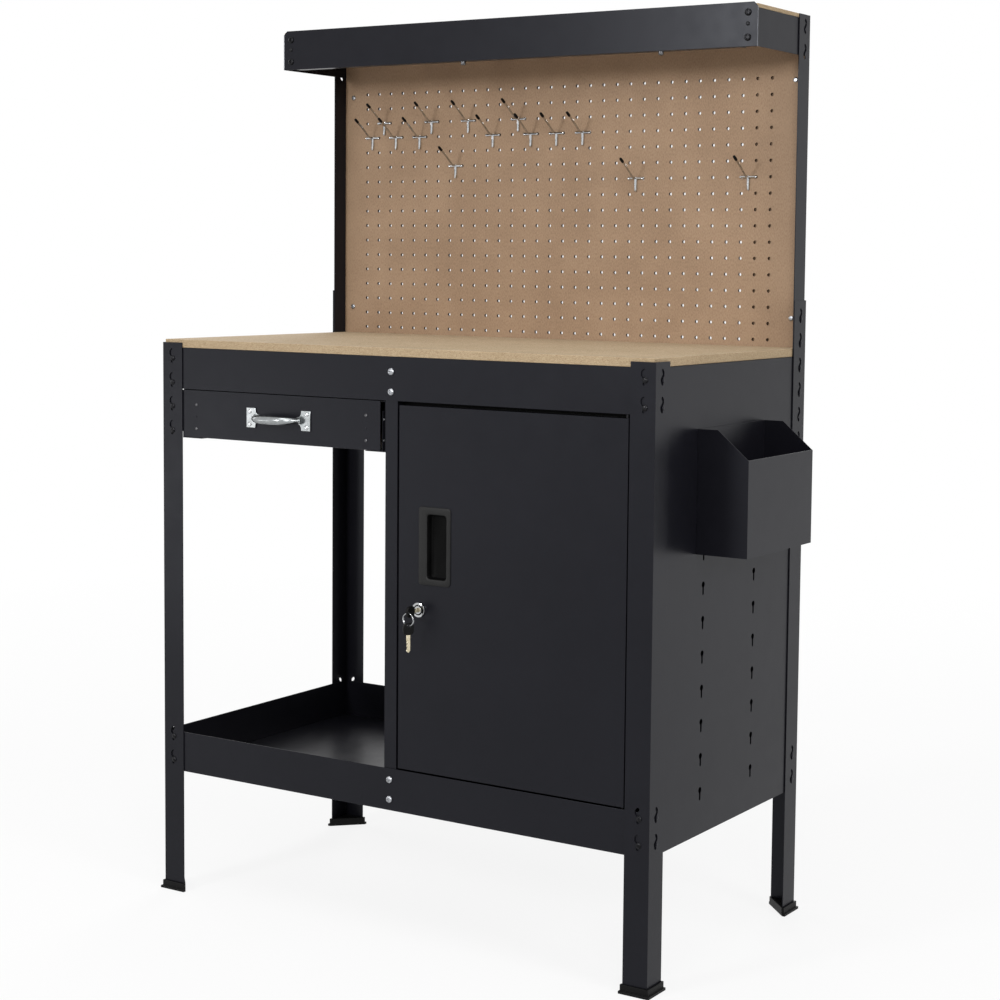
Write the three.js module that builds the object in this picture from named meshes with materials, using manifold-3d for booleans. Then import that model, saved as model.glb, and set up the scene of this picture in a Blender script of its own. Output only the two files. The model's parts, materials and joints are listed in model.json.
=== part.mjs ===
// Steel workbench with a drawer, a lockable cabinet, an open lower tray, a pegboard back with a top
// shelf, and a hang-on side bin. Millimetres, +Z up, +X to the right, front towards -Y.
// While the pieces are made, y = 0 is the front face of the legs and y grows towards the back.

import * as THREE from 'three';
import { mergeVertices } from 'three/addons/utils/BufferGeometryUtils.js';
import Module from 'manifold-3d';

const wasm = await Module();
wasm.setup();

// Overall frame
const BENCH_WIDTH = 900;
const BENCH_DEPTH = 472;
const GAP = 0.3;

// Legs, posts and feet
const LEG_FLANGE = 40;
const LEG_WALL = 1.5;
const FRONT_LEG_TOP = 887;
const REAR_LEG_TOP = 966;
const POST_FLANGE = 37;
const POST_WALL = 1.5;
const POST_TOP = 1402;
const FOOT_PAD = 4;
const FOOT_HEIGHT = 13;
const FOOT_COLLAR = 3;
const FOOT_FLARE = 5.5;
const FOOT_COLLAR_END = 2.5;
const FOOT_FLARE_END = 4;
const FOOT_SLANT = 3.5;

// Teardrop slots that the beams hook into
const SLOT_TOP_Z = 866;
const SLOT_PITCH = 38.1;
const SLOT_INSET = 18.5;
const SLOT_HEIGHT = 23.5;
const SLOT_WIDTH = 5;
const SLOT_SWING = 3.2;
const POST_SLOT_DROP = 18;
const SLOT_STEPS = 6;
const SLOT_CAP_STEPS = 3;

// Aprons, beams and sheet panels
const BEAM_WALL = 1.2;
const BEAM_FLANGE = 15;
const APRON_TOP = 879;
const APRON_HEIGHT = 65;
const LOWER_BEAM_BOTTOM = 197;
const LOWER_BEAM_HEIGHT = 64;
const SHEET = 1;
const FLOOR_SHEET = 1.2;

// Boards
const WORKTOP_THICK = 12.7;
const PEGBOARD_THICK = 4.8;
const SHELF_BOARD_THICK = 6;

// Middle post and its bolts
const MID_POST_LEFT = -10;
const MID_POST_WIDTH = 22;
const MID_POST_DEPTH = 15;
const MID_POST_TOP_DROP = 9;
const BOLT_SHANK_R = 3;
const BOLT_HEAD_R = 5.6;
const BOLT_HEAD_HIGH = 3;
const BOLT_CROWN_R = 3.4;
const BOLT_CROWN_DROP = 0.45;
const BOLT_RIM_HIGH = 0.75;
const BOLT_PITCH = 30;
const BOLT_SHANK_LENGTH = 12;
const NUT_R = 5.6;
const NUT_HIGH = 4.5;

// Top shelf
const SHELF_DEPTH = 178;
const FASCIA_HEIGHT = 65;
const FASCIA_CHAMFER = 6;
const FASCIA_RISE = 2.5;
const SHELF_RAIL_HEIGHT = 28;
const SHELF_SIDE_FLANGE = 25;

// Door and hinge pins
const DOOR_SIDE_GAP = 4.5;
const DOOR_TOP_GAP = 6;
const DOOR_BOTTOM_GAP = 2.8;
const DOOR_FLANGE = 15;
const DOOR_RIGHT_GAP = 3;
const PIN_R = 2.5;
const PIN_SETBACK = 5;
const PIN_ENGAGE = 9;
const PIVOT_TAB = 40;
const PIVOT_TAB_DROP = 28;
const PIVOT_WALL = 2;

// Recessed door pull
const PULL_LEFT_INSET = 37;
const PULL_WIDTH = 57;
const PULL_HEIGHT = 116;
const PULL_CENTRE_Z = 603;
const PULL_RIM_LEFT = 15;
const PULL_RIM_RIGHT = 7.5;
const PULL_RIM_TOP = 11;
const PULL_RIM_BOTTOM = 9.5;
const PULL_RIM_THICK = 1.8;
const PULL_CUP_DEPTH = 12;
const PULL_CUP_WALL = 1.6;
const PULL_CORNER_R = 5;

// Cam lock with its key, ring and spare key
const LOCK_INSET = 38;
const LOCK_DROP = 96;
const LOCK_BARREL_R = 8.5;
const LOCK_HEAD_R = 11;
const LOCK_HEAD_THICK = 3;
const LOCK_NUT_R = 13;
const LOCK_NUT_THICK = 4;
const PLUG_R = 6;
const PLUG_PROUD = 1;
const CAM_LENGTH = 46;
const CAM_WIDTH = 14;
const CAM_THICK = 2;
const CAM_CORNER_R = 6;
const CAM_CLEAR = 1.2;
const KEY_THICK = 2;
const KEY_BLADE_WIDTH = 6;
const KEY_NECK = 8;
const KEY_BOW_R = 10;
const KEY_HOLE_R = 3;
const KEY_BLADE_LENGTH = 17;
const RING_R = 9;
const RING_WIRE_R = 0.9;

// Drawer and its runners
const DRAWER_TOP_GAP = 1.2;
const DRAWER_FRONT_HEIGHT = 74.8;
const DRAWER_LEFT_GAP = 2;
const DRAWER_RIGHT_GAP = 9;
const DRAWER_BOX_DEPTH = 400;
const DRAWER_BOX_HEIGHT = 60;
const DRAWER_SIDE_CLEAR = 3.5;
const RUNNER_SHELF = 38;
const RUNNER_LIP = 15;
const RUNNER_DROP = 1.6;
const RUNNER_TAB_HEIGHT = 66;

// Bow handle on the drawer
const HANDLE_SPAN = 126;
const HANDLE_PLATE_WIDTH = 26;
const HANDLE_EAR_WIDTH = 17.5;
const HANDLE_PLATE_HEIGHT = 31;
const HANDLE_PLATE_THICK = 2;
const HANDLE_NECK_HALF = 5;
const HANDLE_REACH = 30;
const HANDLE_MID_R = 7;
const HANDLE_END_R = 4.8;
const HANDLE_SHOULDER_IN = 11;
const HANDLE_SHOULDER_DROP = 3;
const HANDLE_RISE = 8;
const HANDLE_STEPS = 20;
const HANDLE_SIDES = 12;

// Keyhole slots in the right side panel
const KEYHOLE_PITCH = 50;
const KEYHOLE_ROWS = 11;
const KEYHOLE_BOTTOM_Z = 262.5;
const KEYHOLE_COLUMN_SPACING = 161;
const KEYHOLE_CENTRE_SHIFT = -5;
const KEYHOLE_HEAD_R = 4.6;
const KEYHOLE_TAIL_WIDTH = 4.4;
const KEYHOLE_TAIL_DROP = 13;

// Side bin
const BIN_WIDTH = 210;
const BIN_DEPTH = 81;
const BIN_BOTTOM_Z = 609;
const BIN_FRONT_HEIGHT = 138;
const BIN_BACK_HEIGHT = 179;
const BIN_FLAT_TOP = 32;
const BIN_HOOK_ROW = 9;
const BIN_HOOK_STEM_R = 1.8;
const BIN_HOOK_HEAD_R = 3.8;
const BIN_HOOK_HEAD_THICK = 2;

// Segment counts for round faces
const ROUND = 20;
const SMALL_ROUND = 14;

// Places worked out from the driving sizes
const halfWidth = BENCH_WIDTH / 2;
const frontFace = LEG_WALL + GAP;
const rearFace = BENCH_DEPTH - LEG_WALL - GAP;
const sideFace = halfWidth - LEG_WALL - GAP;
const beamInner = sideFace - BEAM_WALL;
const crossHalf = beamInner - GAP;
const frontInner = frontFace + BEAM_WALL;
const rearInner = rearFace - BEAM_WALL;
const legBottom = FOOT_PAD + GAP;
const apronBottom = APRON_TOP - APRON_HEIGHT;
const lowerBeamTop = LOWER_BEAM_BOTTOM + LOWER_BEAM_HEIGHT;
const floorBottom = LOWER_BEAM_BOTTOM + BEAM_WALL + GAP;
const floorTop = floorBottom + FLOOR_SHEET;
const worktopBottom = APRON_TOP + GAP;
const worktopTop = worktopBottom + WORKTOP_THICK;
const postBottom = APRON_TOP + GAP;
const postInnerX = sideFace - POST_WALL;
const postInnerY = rearFace - POST_WALL;
const midPostRight = MID_POST_LEFT + MID_POST_WIDTH;
const midPostFront = frontInner + GAP;
const midPostRear = midPostFront + MID_POST_DEPTH;
const midPostTop = APRON_TOP - MID_POST_TOP_DROP;
const midPostBottom = floorTop + GAP;
const midPostCentre = MID_POST_LEFT + MID_POST_WIDTH / 2;
const cabinetTop = apronBottom - GAP;
const backPanelFront = rearInner - GAP - SHEET;

// Flat shapes and solids
function box(x0, x1, y0, y1, z0, z1) {
  const geometry = new THREE.BoxGeometry(x1 - x0, y1 - y0, z1 - z0);
  return geometry.translate((x0 + x1) / 2, (y0 + y1) / 2, (z0 + z1) / 2);
}

function flatShape(points) {
  return new THREE.Shape(points.map(([a, b]) => new THREE.Vector2(a, b)));
}

// Extrudes an outline along Z, X or Y. Outlines are given as (x, y), (y, z) or (x, z).
function prism(shape, axis, from, to, curveSegments = 6) {
  const options = { depth: to - from, bevelEnabled: false, curveSegments };
  const geometry = new THREE.ExtrudeGeometry(shape, options);
  if (axis === 'z') return geometry.translate(0, 0, from);
  if (axis === 'x') {
    const turn = new THREE.Matrix4().set(0, 0, 1, 0, 1, 0, 0, 0, 0, 1, 0, 0, 0, 0, 0, 1);
    return geometry.applyMatrix4(turn).translate(from, 0, 0);
  }
  return geometry.rotateX(Math.PI / 2).translate(0, to, 0);
}

function rod(axis, x, y, z, radius, from, to, sides = ROUND) {
  const geometry = new THREE.CylinderGeometry(radius, radius, to - from, sides);
  const middle = (from + to) / 2;
  if (axis === 'x') return geometry.rotateZ(Math.PI / 2).translate(middle, y, z);
  if (axis === 'y') return geometry.translate(x, middle, z);
  return geometry.rotateX(Math.PI / 2).translate(x, y, middle);
}

function solidOf(geometry) {
  const bare = geometry.clone();
  bare.deleteAttribute('normal');
  bare.deleteAttribute('uv');
  const merged = mergeVertices(bare, 1e-4);
  const vertProperties = new Float32Array(merged.attributes.position.array);
  const triVerts = new Uint32Array(merged.index.array);
  return new wasm.Manifold(new wasm.Mesh({ numProp: 3, vertProperties, triVerts }));
}

function geometryOf(solid) {
  const mesh = solid.getMesh();
  const geometry = new THREE.BufferGeometry();
  geometry.setAttribute('position', new THREE.BufferAttribute(mesh.vertProperties, 3));
  geometry.setIndex(new THREE.BufferAttribute(mesh.triVerts, 1));
  geometry.computeVertexNormals();
  return geometry;
}

function join(...geometries) {
  return geometryOf(geometries.map(solidOf).reduce((whole, piece) => whole.add(piece)));
}

function cut(geometry, tools) {
  return geometryOf(tools.map(solidOf).reduce((rest, tool) => rest.subtract(tool), solidOf(geometry)));
}

function roundedRectangle(a0, a1, b0, b1, radius) {
  const shape = new THREE.Shape();
  shape.moveTo(a0 + radius, b0);
  shape.lineTo(a1 - radius, b0);
  shape.absarc(a1 - radius, b0 + radius, radius, -Math.PI / 2, 0);
  shape.lineTo(a1, b1 - radius);
  shape.absarc(a1 - radius, b1 - radius, radius, 0, Math.PI / 2);
  shape.lineTo(a0 + radius, b1);
  shape.absarc(a0 + radius, b1 - radius, radius, Math.PI / 2, Math.PI);
  shape.lineTo(a0, b0 + radius);
  shape.absarc(a0 + radius, b0 + radius, radius, Math.PI, Math.PI * 1.5);
  return shape;
}

// A tube of changing radius along a smooth path, closed at both ends.
function taperedTube(points, radiusAt, steps, sides) {
  const path = new THREE.CatmullRomCurve3(points);
  const frames = path.computeFrenetFrames(steps, false);
  const positions = [];
  const index = [];
  for (let i = 0; i <= steps; i += 1) {
    const centre = path.getPointAt(i / steps);
    const radius = radiusAt(i / steps);
    for (let k = 0; k < sides; k += 1) {
      const angle = (k / sides) * Math.PI * 2;
      const point = centre.clone();
      point.addScaledVector(frames.normals[i], Math.cos(angle) * radius);
      point.addScaledVector(frames.binormals[i], Math.sin(angle) * radius);
      positions.push(point.x, point.y, point.z);
    }
  }
  const ring = (i, k) => i * sides + (k % sides);
  for (let i = 0; i < steps; i += 1) {
    for (let k = 0; k < sides; k += 1) {
      index.push(ring(i, k), ring(i, k + 1), ring(i + 1, k));
      index.push(ring(i, k + 1), ring(i + 1, k + 1), ring(i + 1, k));
    }
  }
  for (let k = 1; k < sides - 1; k += 1) {
    index.push(ring(0, 0), ring(0, k + 1), ring(0, k));
    index.push(ring(steps, 0), ring(steps, k), ring(steps, k + 1));
  }
  const geometry = new THREE.BufferGeometry();
  geometry.setAttribute('position', new THREE.Float32BufferAttribute(positions, 3));
  geometry.setIndex(index);
  return geometry;
}

// Finishes
const powderCoat = () => new THREE.MeshStandardMaterial({ color: 0x2d2d31, roughness: 0.55, metalness: 0.2 });
const particleBoard = () => new THREE.MeshStandardMaterial({ color: 0xc3a171, roughness: 0.8, metalness: 0 });
const hardboard = () => new THREE.MeshStandardMaterial({ color: 0x9a7753, roughness: 0.75, metalness: 0 });
const zinc = () => new THREE.MeshStandardMaterial({ color: 0xc4c8cc, roughness: 0.35, metalness: 0.9 });
const chrome = () => new THREE.MeshStandardMaterial({ color: 0xd6d8da, roughness: 0.15, metalness: 1 });
const blackPlastic = () => new THREE.MeshStandardMaterial({ color: 0x1c1c1d, roughness: 0.6, metalness: 0 });
const blackSteel = () => new THREE.MeshStandardMaterial({ color: 0x3a3a3c, roughness: 0.4, metalness: 0.8 });

const bench = new THREE.Group();

function place(name, geometry, material) {
  const mesh = new THREE.Mesh(geometry, material);
  mesh.name = name;
  bench.add(mesh);
}

// Legs and posts are angle sections: side is -1 on the left, +1 on the right.
function angleSection(side, back, flange, wall, outerX, outerY, from, to) {
  const inward = back ? -1 : 1;
  const x = (d) => side * (outerX - d);
  const y = (d) => outerY + inward * d;
  const outline = [
    [x(0), y(0)], [x(flange), y(0)], [x(flange), y(wall)],
    [x(wall), y(wall)], [x(wall), y(flange)], [x(0), y(flange)],
  ];
  return prism(flatShape(outline), 'z', from, to);
}

// An S-shaped slot of constant width with round ends, centred on (a, b). Its upper half bulges by swing.
function teardropSlot(a, b, swing) {
  const half = SLOT_WIDTH / 2;
  const reach = SLOT_HEIGHT / 2 - half;
  const line = (t) => [swing * Math.sin(Math.PI * t), reach * t];
  const heading = (t) => Math.atan2(reach, swing * Math.PI * Math.cos(Math.PI * t));
  const offset = (t, angle) => {
    const [u, v] = line(t);
    return [a + u + half * Math.cos(angle), b + v + half * Math.sin(angle)];
  };
  const outline = [];
  for (let i = 0; i <= SLOT_STEPS; i += 1) {
    const t = -1 + (2 * i) / SLOT_STEPS;
    outline.push(offset(t, heading(t) - Math.PI / 2));
  }
  for (let i = 1; i < SLOT_CAP_STEPS; i += 1) {
    outline.push(offset(1, heading(1) - Math.PI / 2 + (Math.PI * i) / SLOT_CAP_STEPS));
  }
  for (let i = SLOT_STEPS; i >= 0; i -= 1) {
    const t = -1 + (2 * i) / SLOT_STEPS;
    outline.push(offset(t, heading(t) + Math.PI / 2));
  }
  for (let i = 1; i < SLOT_CAP_STEPS; i += 1) {
    outline.push(offset(-1, heading(-1) + Math.PI / 2 + (Math.PI * i) / SLOT_CAP_STEPS));
  }
  return flatShape(outline);
}

const slotZ = (row) => SLOT_TOP_Z - row * SLOT_PITCH;

function slotTools(side, back, frontRows, sideRows) {
  const faceY = back ? BENCH_DEPTH : 0;
  const sideY = back ? BENCH_DEPTH - SLOT_INSET : SLOT_INSET;
  const slotX = side * (halfWidth - SLOT_INSET);
  const onFace = frontRows.map((row) =>
    prism(teardropSlot(slotX, slotZ(row), -SLOT_SWING), 'y', faceY - 2 * LEG_WALL, faceY + 2 * LEG_WALL));
  const sideX = side * halfWidth;
  const onSide = sideRows.map((row) =>
    prism(teardropSlot(sideY, slotZ(row), SLOT_SWING), 'x', sideX - 2 * LEG_WALL, sideX + 2 * LEG_WALL));
  return [...onFace, ...onSide];
}

const UPPER_ROWS = [0, 1];
const LOWER_ROWS = [16, 17];
const RUNNER_ROWS = [2, 3];
const POST_ROWS = [-2, -1];

function makeLegs() {
  const beamRows = [...UPPER_ROWS, ...LOWER_ROWS];
  const runnerRows = [...UPPER_ROWS, ...RUNNER_ROWS, ...LOWER_ROWS];
  const rearRows = [...POST_ROWS, ...beamRows];
  const legs = [
    ['leg_front_left', -1, false, FRONT_LEG_TOP, runnerRows, beamRows],
    ['leg_front_right', 1, false, FRONT_LEG_TOP, beamRows, beamRows],
    ['leg_rear_left', -1, true, REAR_LEG_TOP, [...rearRows, ...RUNNER_ROWS], rearRows],
    ['leg_rear_right', 1, true, REAR_LEG_TOP, rearRows, [...rearRows, ...RUNNER_ROWS]],
  ];
  for (const [name, side, back, top, faceRows, sideRows] of legs) {
    const outerY = back ? BENCH_DEPTH : 0;
    const angle = angleSection(side, back, LEG_FLANGE, LEG_WALL, halfWidth, outerY, legBottom, top);
    place(name, cut(angle, slotTools(side, back, faceRows, sideRows)), powderCoat());
  }
}

// Each foot is a flared plastic cap with a pocket for the angle's end, cut off slantwise inside the angle.
function makeFeet() {
  for (const [name, side, back] of [
    ['foot_front_left', -1, false], ['foot_front_right', 1, false],
    ['foot_rear_left', -1, true], ['foot_rear_right', 1, true],
  ]) {
    const outerY = back ? BENCH_DEPTH : 0;
    const inward = back ? -1 : 1;
    const wedge = (grow, endGrow, low, high) => {
      const end = LEG_FLANGE + endGrow;
      const blunt = LEG_FLANGE + FOOT_SLANT - end;
      const outline = [[-grow, -grow], [end, -grow], [end, blunt], [blunt, end], [-grow, end]];
      const placed = outline.map(([a, b]) => [side * (halfWidth - a), outerY + inward * b]);
      return prism(flatShape(placed), 'z', low, high);
    };
    const collar = wedge(FOOT_COLLAR, FOOT_COLLAR_END, FOOT_PAD / 2, FOOT_HEIGHT);
    const pad = wedge(FOOT_FLARE, FOOT_FLARE_END, 0, FOOT_PAD);
    const pocket = angleSection(side, back, LEG_FLANGE + 2 * GAP, LEG_WALL + 2 * GAP, halfWidth + GAP,
      outerY - inward * GAP, FOOT_PAD, FOOT_HEIGHT + FOOT_PAD);
    place(name, cut(join(pad, collar), [pocket]), blackPlastic());
  }
}

function makePosts() {
  for (const [name, side] of [['post_left', -1], ['post_right', 1]]) {
    const angle = angleSection(side, true, POST_FLANGE, POST_WALL, sideFace, rearFace, postBottom, POST_TOP);
    const slotY = BENCH_DEPTH - SLOT_INSET;
    const rows = [POST_TOP - POST_SLOT_DROP, POST_TOP - POST_SLOT_DROP - SLOT_PITCH];
    const sideX = side * sideFace;
    const tools = rows.map((z) =>
      prism(teardropSlot(slotY, z, SLOT_SWING), 'x', sideX - 2 * POST_WALL, sideX + 2 * POST_WALL));
    place(name, cut(angle, tools), powderCoat());
  }
}

// Aprons and lower beams are folded channels. Their flanges stop short of the crossing pieces.
function makeAprons() {
  const flangeRear = frontInner + BEAM_FLANGE;
  const flangeFront = rearInner - BEAM_FLANGE;
  const sideStart = flangeRear + GAP;
  const sideEnd = flangeFront - GAP;
  const topFlange = APRON_TOP - BEAM_WALL;
  const bottomFlange = apronBottom + BEAM_WALL;

  const frontApron = join(
    box(-crossHalf, crossHalf, frontFace, frontInner, apronBottom, APRON_TOP),
    box(-crossHalf, crossHalf, frontFace, flangeRear, topFlange, APRON_TOP),
    box(-crossHalf, crossHalf, frontFace, flangeRear, apronBottom, bottomFlange),
  );
  const postNotch = box(MID_POST_LEFT - GAP, midPostRight + GAP, frontInner, midPostRear + GAP,
    apronBottom - BEAM_WALL, midPostTop + GAP);
  const pinHole = rod('z', pinX, pinY, 0, PIN_R + GAP, apronBottom - BEAM_WALL, bottomFlange + BEAM_WALL);
  const boltHoles = upperBoltZ.map((z) =>
    rod('y', midPostCentre, 0, z, BOLT_SHANK_R + GAP, 0, midPostRear, SMALL_ROUND));
  place('apron_front', cut(frontApron, [postNotch, pinHole, ...boltHoles]), powderCoat());

  place('apron_rear', join(
    box(-crossHalf, crossHalf, rearInner, rearFace, apronBottom, APRON_TOP),
    box(-crossHalf, crossHalf, flangeFront, rearFace, topFlange, APRON_TOP),
  ), powderCoat());

  place('apron_left', join(
    box(-sideFace, -beamInner, frontInner + GAP, rearInner - GAP, apronBottom, APRON_TOP),
    box(-sideFace, -beamInner + BEAM_FLANGE, sideStart, sideEnd, topFlange, APRON_TOP),
  ), powderCoat());
}

function makeLowerBeams() {
  const flangeRear = frontInner + BEAM_FLANGE;
  const flangeFront = rearInner - BEAM_FLANGE;
  const flangeTop = LOWER_BEAM_BOTTOM + BEAM_WALL;

  const frontBeam = join(
    box(-crossHalf, crossHalf, frontFace, frontInner, LOWER_BEAM_BOTTOM, lowerBeamTop),
    box(-crossHalf, crossHalf, frontFace, flangeRear, LOWER_BEAM_BOTTOM, flangeTop),
  );
  const boltHoles = lowerBoltZ.map((z) =>
    rod('y', midPostCentre, 0, z, BOLT_SHANK_R + GAP, 0, midPostRear, SMALL_ROUND));
  place('beam_lower_front', cut(frontBeam, boltHoles), powderCoat());

  place('beam_lower_rear', join(
    box(-crossHalf, crossHalf, rearInner, rearFace, LOWER_BEAM_BOTTOM, lowerBeamTop),
    box(-crossHalf, crossHalf, flangeFront, rearFace, LOWER_BEAM_BOTTOM, flangeTop),
  ), powderCoat());

  place('beam_lower_left', join(
    box(-sideFace, -beamInner, frontInner + GAP, rearInner - GAP, LOWER_BEAM_BOTTOM, lowerBeamTop),
    box(-sideFace, -beamInner + BEAM_FLANGE, flangeRear + GAP, flangeFront - GAP,
      LOWER_BEAM_BOTTOM, flangeTop),
  ), powderCoat());

  place('lower_shelf', box(-crossHalf, crossHalf, frontInner + GAP, rearInner - GAP, floorBottom, floorTop),
    powderCoat());
}

// Keyholes: a round head with a narrow tail below it.
function keyhole(y, z) {
  const half = KEYHOLE_TAIL_WIDTH / 2;
  const shape = new THREE.Shape();
  const neck = Math.asin(half / KEYHOLE_HEAD_R);
  const tailZ = z - KEYHOLE_TAIL_DROP;
  shape.absarc(y, z, KEYHOLE_HEAD_R, -Math.PI / 2 + neck, Math.PI * 1.5 - neck);
  shape.lineTo(y - half, tailZ);
  shape.absarc(y, tailZ, half, Math.PI, Math.PI * 2);
  shape.closePath();
  return shape;
}

const keyholeCentreY = BENCH_DEPTH / 2 + KEYHOLE_CENTRE_SHIFT;
const keyholeColumns = [-1, 1].map((side) => keyholeCentreY + (side * KEYHOLE_COLUMN_SPACING) / 2);
const keyholeZ = (row) => KEYHOLE_BOTTOM_Z + row * KEYHOLE_PITCH;

function makeSidePanel() {
  const flangeStart = frontInner + BEAM_FLANGE + GAP;
  const flangeEnd = rearInner - BEAM_FLANGE - GAP;
  const flangeX = sideFace - BEAM_FLANGE;
  const panel = join(
    box(sideFace - SHEET, sideFace, frontInner + GAP, rearInner - GAP, LOWER_BEAM_BOTTOM, APRON_TOP),
    box(flangeX, sideFace, flangeStart, flangeEnd, APRON_TOP - SHEET, APRON_TOP),
    box(flangeX, sideFace, flangeStart, flangeEnd, LOWER_BEAM_BOTTOM, LOWER_BEAM_BOTTOM + BEAM_WALL),
  );
  const holes = [];
  for (const y of keyholeColumns) {
    for (let row = 0; row < KEYHOLE_ROWS; row += 1) {
      holes.push(prism(keyhole(y, keyholeZ(row)), 'x', sideFace - 3 * SHEET, sideFace + SHEET, 5));
    }
  }
  place('side_panel_right', cut(panel, holes), powderCoat());
}

// Bolts that hold the middle post to the front apron and the lower beam
const upperBoltMiddle = (apronBottom + midPostTop) / 2;
const lowerBoltMiddle = (LOWER_BEAM_BOTTOM + lowerBeamTop) / 2;
const upperBoltZ = [upperBoltMiddle + BOLT_PITCH / 2, upperBoltMiddle - BOLT_PITCH / 2];
const lowerBoltZ = [lowerBoltMiddle + BOLT_PITCH / 2, lowerBoltMiddle - BOLT_PITCH / 2];

function makeMiddlePost() {
  const channel = join(
    box(MID_POST_LEFT, midPostRight, midPostFront, midPostFront + BEAM_WALL, midPostBottom, midPostTop),
    box(MID_POST_LEFT, MID_POST_LEFT + BEAM_WALL, midPostFront, midPostRear, midPostBottom, midPostTop),
    box(midPostRight - BEAM_WALL, midPostRight, midPostFront, midPostRear, midPostBottom, midPostTop),
  );
  const boltZ = [...upperBoltZ, ...lowerBoltZ];
  const holes = boltZ.map((z) =>
    rod('y', midPostCentre, 0, z, BOLT_SHANK_R + GAP, 0, midPostFront + 2 * BEAM_WALL, SMALL_ROUND));
  place('middle_post', cut(channel, holes), powderCoat());

  const headRear = frontFace - GAP;
  const nutFront = midPostFront + BEAM_WALL + GAP;
  boltZ.forEach((z, i) => {
    const dome = [
      new THREE.Vector2(0, BOLT_HEAD_HIGH), new THREE.Vector2(BOLT_CROWN_R, BOLT_HEAD_HIGH - BOLT_CROWN_DROP),
      new THREE.Vector2(BOLT_HEAD_R, BOLT_RIM_HIGH), new THREE.Vector2(BOLT_HEAD_R, 0),
      new THREE.Vector2(BOLT_SHANK_R, 0), new THREE.Vector2(BOLT_SHANK_R, -BOLT_SHANK_LENGTH),
      new THREE.Vector2(0, -BOLT_SHANK_LENGTH),
    ].reverse();
    const bolt = new THREE.LatheGeometry(dome, SMALL_ROUND);
    bolt.rotateX(Math.PI).translate(midPostCentre, headRear, z);
    place(`post_bolt_${i + 1}`, bolt, zinc());
    const nut = rod('y', midPostCentre, 0, z, NUT_R, nutFront, nutFront + NUT_HIGH, 6);
    const thread = rod('y', midPostCentre, 0, z, BOLT_SHANK_R + GAP, 0, 3 * midPostRear, SMALL_ROUND);
    place(`post_nut_${i + 1}`, cut(nut, [thread]), zinc());
  });
}

function makeCabinetPanels() {
  const dividerFront = midPostRear + GAP;
  place('cabinet_divider', box(MID_POST_LEFT, MID_POST_LEFT + SHEET, dividerFront, backPanelFront - GAP,
    floorTop + GAP, cabinetTop), powderCoat());
  place('cabinet_back', box(MID_POST_LEFT, sideFace - SHEET - GAP, backPanelFront, backPanelFront + SHEET,
    floorTop + GAP, cabinetTop), powderCoat());
}

// Boards and the top shelf. The worktop and the pegboard both fit between the posts.
const boardHalf = postInnerX - GAP;
const pegRear = postInnerY - GAP;
const pegFront = pegRear - PEGBOARD_THICK;
const fasciaFront = BENCH_DEPTH - SHELF_DEPTH;
const fasciaRear = fasciaFront + SHEET;
const shelfBoardTop = POST_TOP;
const shelfBoardBottom = shelfBoardTop - SHELF_BOARD_THICK;
const fasciaTop = shelfBoardTop + FASCIA_RISE;
const fasciaBottom = fasciaTop - FASCIA_HEIGHT;

function makeWorktop() {
  const board = box(-boardHalf, boardHalf, frontFace, pegFront - GAP, worktopBottom, worktopTop);
  place('worktop', board, particleBoard());
  place('pegboard', box(-boardHalf, boardHalf, pegFront, pegRear, postBottom, shelfBoardBottom - GAP),
    hardboard());
}

function makeTopShelf() {
  const c = FASCIA_CHAMFER;
  const half = boardHalf;
  const face = [
    [-half, fasciaBottom], [half, fasciaBottom], [half, fasciaTop - c],
    [half - c, fasciaTop], [-half + c, fasciaTop], [-half, fasciaTop - c],
  ];
  const lip = half - SHELF_SIDE_FLANGE - GAP;
  place('shelf_fascia', join(
    prism(flatShape(face), 'y', fasciaFront, fasciaRear),
    box(-lip, lip, fasciaFront, fasciaFront + BEAM_FLANGE, fasciaBottom, fasciaBottom + SHEET),
  ), powderCoat());

  const sideTop = shelfBoardBottom - GAP;
  const sideFront = fasciaRear + GAP;
  for (const [name, side] of [['shelf_side_left', -1], ['shelf_side_right', 1]]) {
    const x = (d) => side * (half - d);
    const span = (d0, d1) => [Math.min(x(d0), x(d1)), Math.max(x(d0), x(d1))];
    place(name, join(
      box(...span(0, SHEET), sideFront, pegFront - GAP, fasciaBottom, sideTop),
      box(...span(0, SHELF_SIDE_FLANGE), sideFront, sideFront + SHEET, fasciaBottom, sideTop),
      box(...span(0, BEAM_FLANGE), sideFront, pegFront - GAP, sideTop - SHEET, sideTop),
    ), powderCoat());
  }

  const railRear = pegFront - GAP;
  const railHalf = half - BEAM_FLANGE - GAP;
  place('shelf_rear_rail', join(
    box(-railHalf, railHalf, railRear - SHEET, railRear, sideTop - SHELF_RAIL_HEIGHT, sideTop),
    box(-railHalf, railHalf, railRear - BEAM_FLANGE, railRear, sideTop - SHEET, sideTop),
  ), powderCoat());

  place('shelf_board', box(-half, half, sideFront, pegRear, shelfBoardBottom, shelfBoardTop),
    particleBoard());
}

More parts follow.
